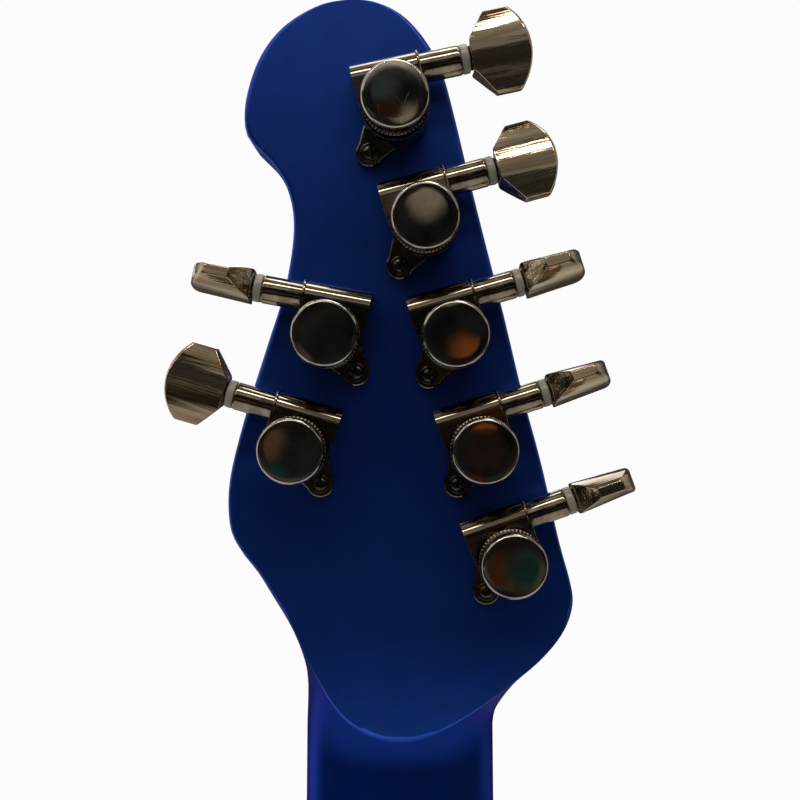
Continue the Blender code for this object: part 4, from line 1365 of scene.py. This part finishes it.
def build_nut():
    """The nut with a round slot for each string."""
    half = NUT_HALF - 0.1
    top = [(-half, -7.6)]
    for number, radius in enumerate(STRING_RADII):
        x = string_x(number, False)
        land = -8.7 + crown(x)
        floor = string_nut_y(number) + radius + STRING_GAP
        top.append((x - radius - 0.45, land))
        for k in range(7):
            turn = math.radians(180 - 30 * k)
            reach = radius + STRING_GAP
            top.append((x + reach * math.cos(turn), floor - reach + reach * math.sin(turn)))
        top.append((x + radius + 0.45, land))
    top.append((half, -7.6))
    outline = [(-half, -0.3)] + top + [(half, -0.3)]
    shape = slab(outline, 0.3, 4.3, 2)
    nut = piece("string_nut", shape, NUT_BLACK, None, 0.2, 2, 40.0)
    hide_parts("nut")


# ---------------------------------------------------------------- body

BODY_OUTLINE = (
    (-31, -428), (-47, -424), (-67, -410), (-84, -388), (-98, -361), (-110, -340), (-123.5, -331),
    (-136, -339), (-144, -364), (-146, -402), (-139, -448), (-123, -496), (-114, -540), (-119, -584),
    (-136, -630), (-154, -674), (-158, -706), (-148, -740), (-118, -763), (-66, -772), (0, -774),
    (66, -772), (118, -761), (148, -734), (158.5, -700), (158.5, -672), (146, -624), (125, -580), (112, -538),
    (115, -498), (128, -456), (137, -420), (136, -394), (125, -377), (110, -381), (96, -399),
    (81, -420), (62, -435), (47, -441), (34, -442), (0, -436),
)
CAVITY = (
    (44, -636), (62, -606), (100, -610), (134, -640), (142, -684), (130, -722), (96, -738), (56, -722),
    (44, -690),
)
OUTLINE_STEPS = 10
EDGE_STEPS = 9
NECK_BOLTS = ((-17.5, -451.0), (17.5, -454.0), (-18.5, -483.0), (18.5, -483.0))


def plan_tool(outline, low, high):
    return helper(slab(outline, low, high))


def build_body():
    """The body with its pocket, routs, cavity and bores cut in."""
    outline = smooth_curve(BODY_OUTLINE, OUTLINE_STEPS)
    rounding = quarter(BODY_EDGE, EDGE_STEPS)
    sections = [[(x, BODY_TOP_Y + level, z) for x, z in inset(outline, depth)] for level, depth in rounding]
    for level, depth in reversed(rounding):
        sections.append([(x, BODY_BACK_Y - level, z) for x, z in inset(outline, depth)])
    body = piece("body_wood", loft(sections), BLUE)
    low = neck_half(-400) + 0.35
    high = neck_half(HEEL_END_Z) + 0.35
    pocket = [(-low, -400), (low, -400), (high, HEEL_END_Z - 0.3), (-high, HEEL_END_Z - 0.3)]
    tools = [plan_tool(pocket, -20, POCKET_Y)]
    for _, centre in PICKUPS:
        tools.append(plan_tool(rounded_rect(44, 20.5, 4, 0, centre), -20, 26))
    cavity = smooth_curve(CAVITY, OUTLINE_STEPS)
    tools.append(plan_tool(cavity, 12, 60))
    tools.append(plan_tool(inset(cavity, -5), BODY_BACK_Y - 2.3, 60))
    for (x, z), radius in ((VOLUME_AT, 5.0), (TONE_AT, 5.0), (SELECTOR_AT, 6.4)):
        tools.append(drill(radius, -20, 20, (x, 5, z), DEEP))
    for x, z in NECK_BOLTS:
        tools.append(drill(6.7, BODY_BACK_Y - 2.2, BODY_BACK_Y + 5, (x, 0, z), DEEP))
    bore = [(8.3, -45), (8.3, -2.2), (12.6, -2.2), (12.6, 20)]
    tools.append(helper(lathe(bore, 64), axis_place(JACK_AT, WIDE, DEEP)))
    cut(body, tools)
    keep_flat(body)
    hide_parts("body")


def build_bolts():
    """Neck bolts in flush ferrules on the body's back."""
    for number, (x, z) in enumerate(NECK_BOLTS, 1):
        cup = [(0.0, -2.1), (6.4, -2.1), (6.4, -0.25), (6.1, -0.1), (5.2, -0.1), (4.3, -1.3), (0.0, -1.3)]
        turned(f"neck_ferrule_{number}", cup, 56, (x, BODY_BACK_Y, z), DEEP, BLACK_METAL, "black_metal", 0.2)
        screw(f"neck_bolt_{number}", 3.9, (x, BODY_BACK_Y - 1.3 - 0.65, z), DEEP, 0.7 * number)


def build_cover():
    """The flush cover of the control cavity and its screws."""
    outline = inset(smooth_curve(CAVITY, OUTLINE_STEPS), -4.6)
    cover = piece(
        "cavity_cover", slab(outline, BODY_BACK_Y - 2.0, BODY_BACK_Y - 0.04), COVER_PLASTIC
    )
    rim = inset(smooth_curve(CAVITY, OUTLINE_STEPS), -1.2)
    count = len(rim)
    places = [rim[int(count * (k + 0.5) / 6)] for k in range(6)]
    cut(cover, [drill(2.6, BODY_BACK_Y - 1.1, BODY_BACK_Y + 3, (x, 0, z), DEEP, 32) for x, z in places])
    soften(cover, 0.25, 2, 40.0)
    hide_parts("control_cover")
    for number, (x, z) in enumerate(places, 1):
        screw(f"cover_screw_{number}", 2.3, (x, BODY_BACK_Y - 1.1, z), DEEP, 0.5 * number)


def build_strap_buttons():
    profile = [
        (0.0, 0.35), (6.2, 0.35), (6.0, 0.8), (4.3, 2.0), (3.7, 3.4), (3.7, 5.0), (4.6, 6.8), (6.4, 8.0),
        (7.8, 8.6), (8.0, 9.3), (8.0, 10.0), (7.4, 10.8), (6.6, 11.0), (3.6, 11.0), (3.1, 10.4), (0.0, 10.4),
    ]
    for label, at, sign in STRAPS:
        button = turned(
            f"strap_button_{label}_head", profile, 72, at, TALL * sign, BLACK_METAL, "black_metal", 0.5,
            side=DEEP,
        )
        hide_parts(f"strap_button_{label}")
        seat = Vector(at) + TALL * sign * 10.0
        screw(f"strap_screw_{label}", 2.7, seat - TALL * sign * 0.35, TALL * sign, 0.6)


# ---------------------------------------------------------------- pickups, bridge and controls


def rounded_block(name, half_x, half_z, corner, centre, top, bottom, edge, paint):
    """A block with rounded corners and a rounded top edge, its top towards the strings."""
    plan = rounded_rect(half_x, half_z, corner, 0, centre, 8)
    sections = [[(x, top + level, z) for x, z in inset(plan, depth)] for level, depth in quarter(edge, 5)]
    sections.append([(x, bottom, z) for x, z in plan])
    return piece(name, loft(sections), paint, angle=40.0)


def build_pickup(label, centre):
    """Two bobbins with seven cap screws each, wound with black tape, on a plate."""
    for row, shift in (("a", BOBBIN_SHIFT), ("b", -BOBBIN_SHIFT)):
        z = centre + shift
        top = rounded_block(
            f"pickup_{label}_bobbin_{row}", 41.3, 8.9, 6.5, z, PICKUP_TOP_Y, WINDING_TOP_Y, 0.5,
            BLACK_PLASTIC,
        )
        rounded_block(
            f"pickup_{label}_winding_{row}", 40.3, 8.1, 5.8, z, WINDING_TOP_Y, 9.9, 0.15,
            TAPE,
        )
        for number in range(7):
            x = string_x(number, True) * 0.985
            at = (x, PICKUP_TOP_Y, z)
            cap = [(0.9, 0.35), (1.9, 0.35), (2.15, 0.1), (2.15, -0.6), (0.9, -0.6), (0.9, -0.5)]
            turned(f"pole_{label}_{row}{number + 1}", cap, 32, at, -DEEP, POLE_METAL, "pot_steel", 0.12, True)
            socket = [(0.0, -0.55), (0.92, -0.55), (0.92, -0.9), (0.0, -0.9)]
            turned(f"pole_seat_{label}_{row}{number + 1}", socket, 6, at, -DEEP, SCREW_METAL, "pot_steel")
    rounded_block(
        f"pickup_{label}_plate", 43.0, 19.5, 2.5, centre, 10.0, 12.4, 0.4, ZINC
    )
    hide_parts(f"pickup_{label}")


SADDLE_HALF = 4.9
SADDLE_BACK_Z = -668.0
SLOPE_START_Z = -650.4
SLOPE_END = (-4.4, -661.5)
HEIGHT_SCREW_X = 3.0
HEIGHT_SCREW_Z = -656.0
INTONATION_X = -2.6
INTONATION_Y = -1.2
BRIDGE_SCREWS = ((-38.6, -641.0), (38.6, -641.0), (-26.2, -680.5), (0.0, -680.5), (26.2, -680.5))


def build_bridge():
    """The plate, the wall that holds the string ends, and the screws."""
    plan = rounded_rect(41.0, 27.0, 3.0, 0, -664.0, 8)
    plate = piece(
        "bridge_base", slab(plan, PLATE_TOP_Y, BODY_TOP_Y - 0.05),
        BLACK_METAL, None, 0.5, 3,
    )
    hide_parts("bridge_plate")
    wall_plan = rounded_rect(40.5, 1.5, 0.6, 0, BRIDGE_WALL_Z, 4)
    wall = piece(
        "bridge_wall", slab(wall_plan, PICKUP_TOP_Y, PLATE_TOP_Y + 0.2),
        BLACK_METAL,
    )
    holes = []
    for number in range(7):
        x = string_x(number, True)
        holes.append(drill(1.4, -6, 6, (x, STRING_ANCHOR_Y, BRIDGE_WALL_Z), TALL, 28))
    cut(wall, holes)
    soften(wall, 0.3, 2, 40.0)
    for number, (x, z) in enumerate(BRIDGE_SCREWS, 1):
        screw(
            f"bridge_screw_{number}", 1.9 if z > -660 else 2.6, (x, PLATE_TOP_Y - 0.02, z), -DEEP,
            0.4 * number,
        )
    for number in range(7):
        at = (string_x(number, True) + INTONATION_X, INTONATION_Y, BRIDGE_WALL_Z)
        thread = [(0.0, -2.6), (1.3, -2.6), (1.3, -1.6), (0.85, -1.5)]
        thread += [(0.85 + (0.18 if k % 2 else 0.0), -1.4 + 0.35 * k) for k in range(46)]
        thread += [(0.0, -1.4 + 0.35 * 46)]
        turned(f"intonation_screw_{number + 1}", thread, 24, at, TALL, SCREW_METAL, "black_metal")


def build_saddles():
    """Seven stepped blocks, each with two height screws."""
    for number in range(7):
        x = string_x(number, True)
        crest = string_saddle_y(number) + STRING_RADII[number] + STRING_GAP
        base = PLATE_TOP_Y - 0.3
        side = [
            (base, -642.5), (crest + 3.4, -642.5), (crest + 0.5, -645.6), (crest, -647.0), (crest, -648.4),
            (crest + 0.9, SLOPE_START_Z), SLOPE_END, (-3.4, SADDLE_BACK_Z), (base, SADDLE_BACK_Z),
        ]
        side = side[:1] + eased(side[1:-1], 1.0, 4) + side[-1:]
        body = f"saddle_{number + 1}"
        shape = slab(side, x - SADDLE_HALF, x + SADDLE_HALF, 0)
        block = piece(f"saddle_block_{number + 1}", shape, BLACK_METAL, body=body)
        run = (HEIGHT_SCREW_Z - SLOPE_START_Z) / (SLOPE_END[1] - SLOPE_START_Z)
        slope_y = crest + 0.9 + (SLOPE_END[0] - crest - 0.9) * run
        screws = [(x + shift, slope_y, HEIGHT_SCREW_Z) for shift in (-HEIGHT_SCREW_X, HEIGHT_SCREW_X)]
        seats = [drill(1.5, -3.0, 8.0, at, -DEEP, 28) for at in screws]
        seats.append(drill(0.95, -30, 4.0, (x + INTONATION_X, INTONATION_Y, SADDLE_BACK_Z), TALL, 24))
        cut(block, seats)
        soften(block, 0.3, 2, 35.0)
        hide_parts(body)
        for label, at in zip("ab", screws):
            grub = [(0.7, -2.8), (1.4, -2.8), (1.4, 0.1), (1.2, 0.35), (0.7, 0.35)]
            turned(
                f"height_screw_{number + 1}{label}", grub, 24, at, -DEEP, SCREW_METAL, "black_metal", 0.1,
                True, body=body,
            )
            floor = [(0.0, -2.9), (0.75, -2.9), (0.75, -1.2), (0.0, -1.2)]
            turned(
                f"height_seat_{number + 1}{label}", floor, 6, at, -DEEP, SCREW_METAL, "black_metal",
                body=body,
            )


KNOB_TEETH = 60


def square_teeth(depth, inner, low=-math.inf, high=math.inf):
    """Square teeth cut in a turned piece beyond a radius, between two heights."""

    def wobble(k, radius, height):
        return -depth if radius > inner and low < height < high and k % 4 in (0, 1) else 0.0

    return wobble


def build_knob(label, at):
    """A knurled metal knob with a dished top and a pointer line."""
    x, z = at
    side = [(9.0 - 0.5 * k / 8, 0.4 + 13.4 * k / 8) for k in range(9)]
    profile = [(0.0, -21.0), (3.0, -21.0), (3.0, 0.8), (5.2, 0.8), (5.2, -0.7), (8.9, -0.7)]
    profile += [(9.38, -0.2), (9.38, 0.6), (9.1, 1.0)] + [(r, h + 1.2) for r, h in side[:-1]]
    profile += [(8.2, 14.2), (7.7, 14.8), (7.0, 14.95), (6.4, 14.6), (0.0, 14.3)]
    body = f"{label}_knob"
    place = (x, 0, z)
    knob = turned(
        f"{label}_knob_head", profile, KNOB_TEETH * 4, place, -DEEP, BLACK_METAL, "black_metal",
        wobble=square_teeth(0.28, 8.2, 2.2, 13.6), body=body,
    )
    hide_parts(body)
    line = [(x - 0.35, z + 3.0), (x + 0.35, z + 3.0), (x + 0.35, z + 6.3), (x - 0.35, z + 6.3)]
    piece(f"{label}_pointer", slab(line, -14.15, -14.75), PEARL, None, 0.1, 2, body=body)


def build_controls():
    for label, at in (("volume", VOLUME_AT), ("tone", TONE_AT)):
        dress(f"{label}_pot", ZINC)
        build_knob(label, at)
        build_pot_lugs(label, at)
    build_selector()
    build_jack()


def build_pot_lugs(label, at):
    """Three solder lugs below the pot's can, inside the control cavity."""
    x, z = at
    outline = [(-1.1, 0.0), (1.1, 0.0), (1.3, 4.0), (0.7, 6.5), (-0.7, 6.5), (-1.3, 4.0)]
    base = z - 11.8
    for number in range(3):
        shift = (number - 1) * 5.0
        shape = slab([(x + shift + a, base - b) for a, b in outline], 18.0, 18.7)
        piece(f"{label}_lug_{number + 1}", shape, POLE_METAL, None, 0.12, 2)


def build_selector():
    x, z = SELECTOR_AT
    place = (x, 0, z)
    switch = [(3.6, -3.7), (5.9, -3.7), (5.9, -12.6), (9.5, -12.6), (9.5, -31.9), (3.6, -31.9)]
    body = turned("selector_body", switch, 56, place, -DEEP, ZINC, "pot_steel", 0.5, True)
    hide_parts("selector_switch")
    ring = [(3.7, -3.6), (7.2, -3.6), (7.35, -3.3), (7.35, -0.7), (7.0, -0.4), (4.4, -0.05), (3.7, -0.2)]
    teeth = square_teeth(0.25, 7.25)
    turned("selector_nut", ring, 120, place, -DEEP, BLACK_METAL, "black_metal", ring=True, wobble=teeth)
    profile = [
        (0.0, -9.0), (1.2, -9.0), (1.2, -5.0), (2.3, -4.4), (2.3, -1.6), (1.4, -1.0), (1.5, 9.4), (2.1, 10.2),
        (2.6, 11.2), (3.0, 14.6), (3.1, 16.6), (2.9, 18.0), (2.2, 18.7), (1.1, 18.95), (0.0, 19.0),
    ]
    lever = turned(
        "selector_bat", profile, 48, place, -DEEP, BLACK_METAL, "black_metal", 0.4,
        body="selector_lever",
    )
    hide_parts("selector_lever")


def build_jack():
    """The socket in its dished ring on the edge of the body."""
    profile = [
        (3.3, 0.9), (5.2, 0.9), (5.6, 0.95), (8.6, 0.95), (9.4, 0.85), (11.4, 0.35), (11.95, -0.4),
        (11.95, -1.75), (7.9, -1.75), (7.9, -30.0), (5.5, -31.9), (3.3, -31.9),
    ]
    jack = turned(
        "jack_socket", profile, 72, JACK_AT, WIDE, BLACK_METAL, "black_metal", 0.25, True, side=DEEP
    )
    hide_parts("output_jack")


bpy.context.scene.view_settings.view_transform = "Standard"
build_camera()
build_world()
build_stage()
build_lights()
build_neck()
build_tuners()
dress("truss_rod", ZINC)
build_fretboard()
build_nut()
build_strings()
build_body()
build_bolts()
build_cover()
build_strap_buttons()
for pickup_label, pickup_centre in PICKUPS:
    build_pickup(pickup_label, pickup_centre)
build_bridge()
build_saddles()
build_controls()
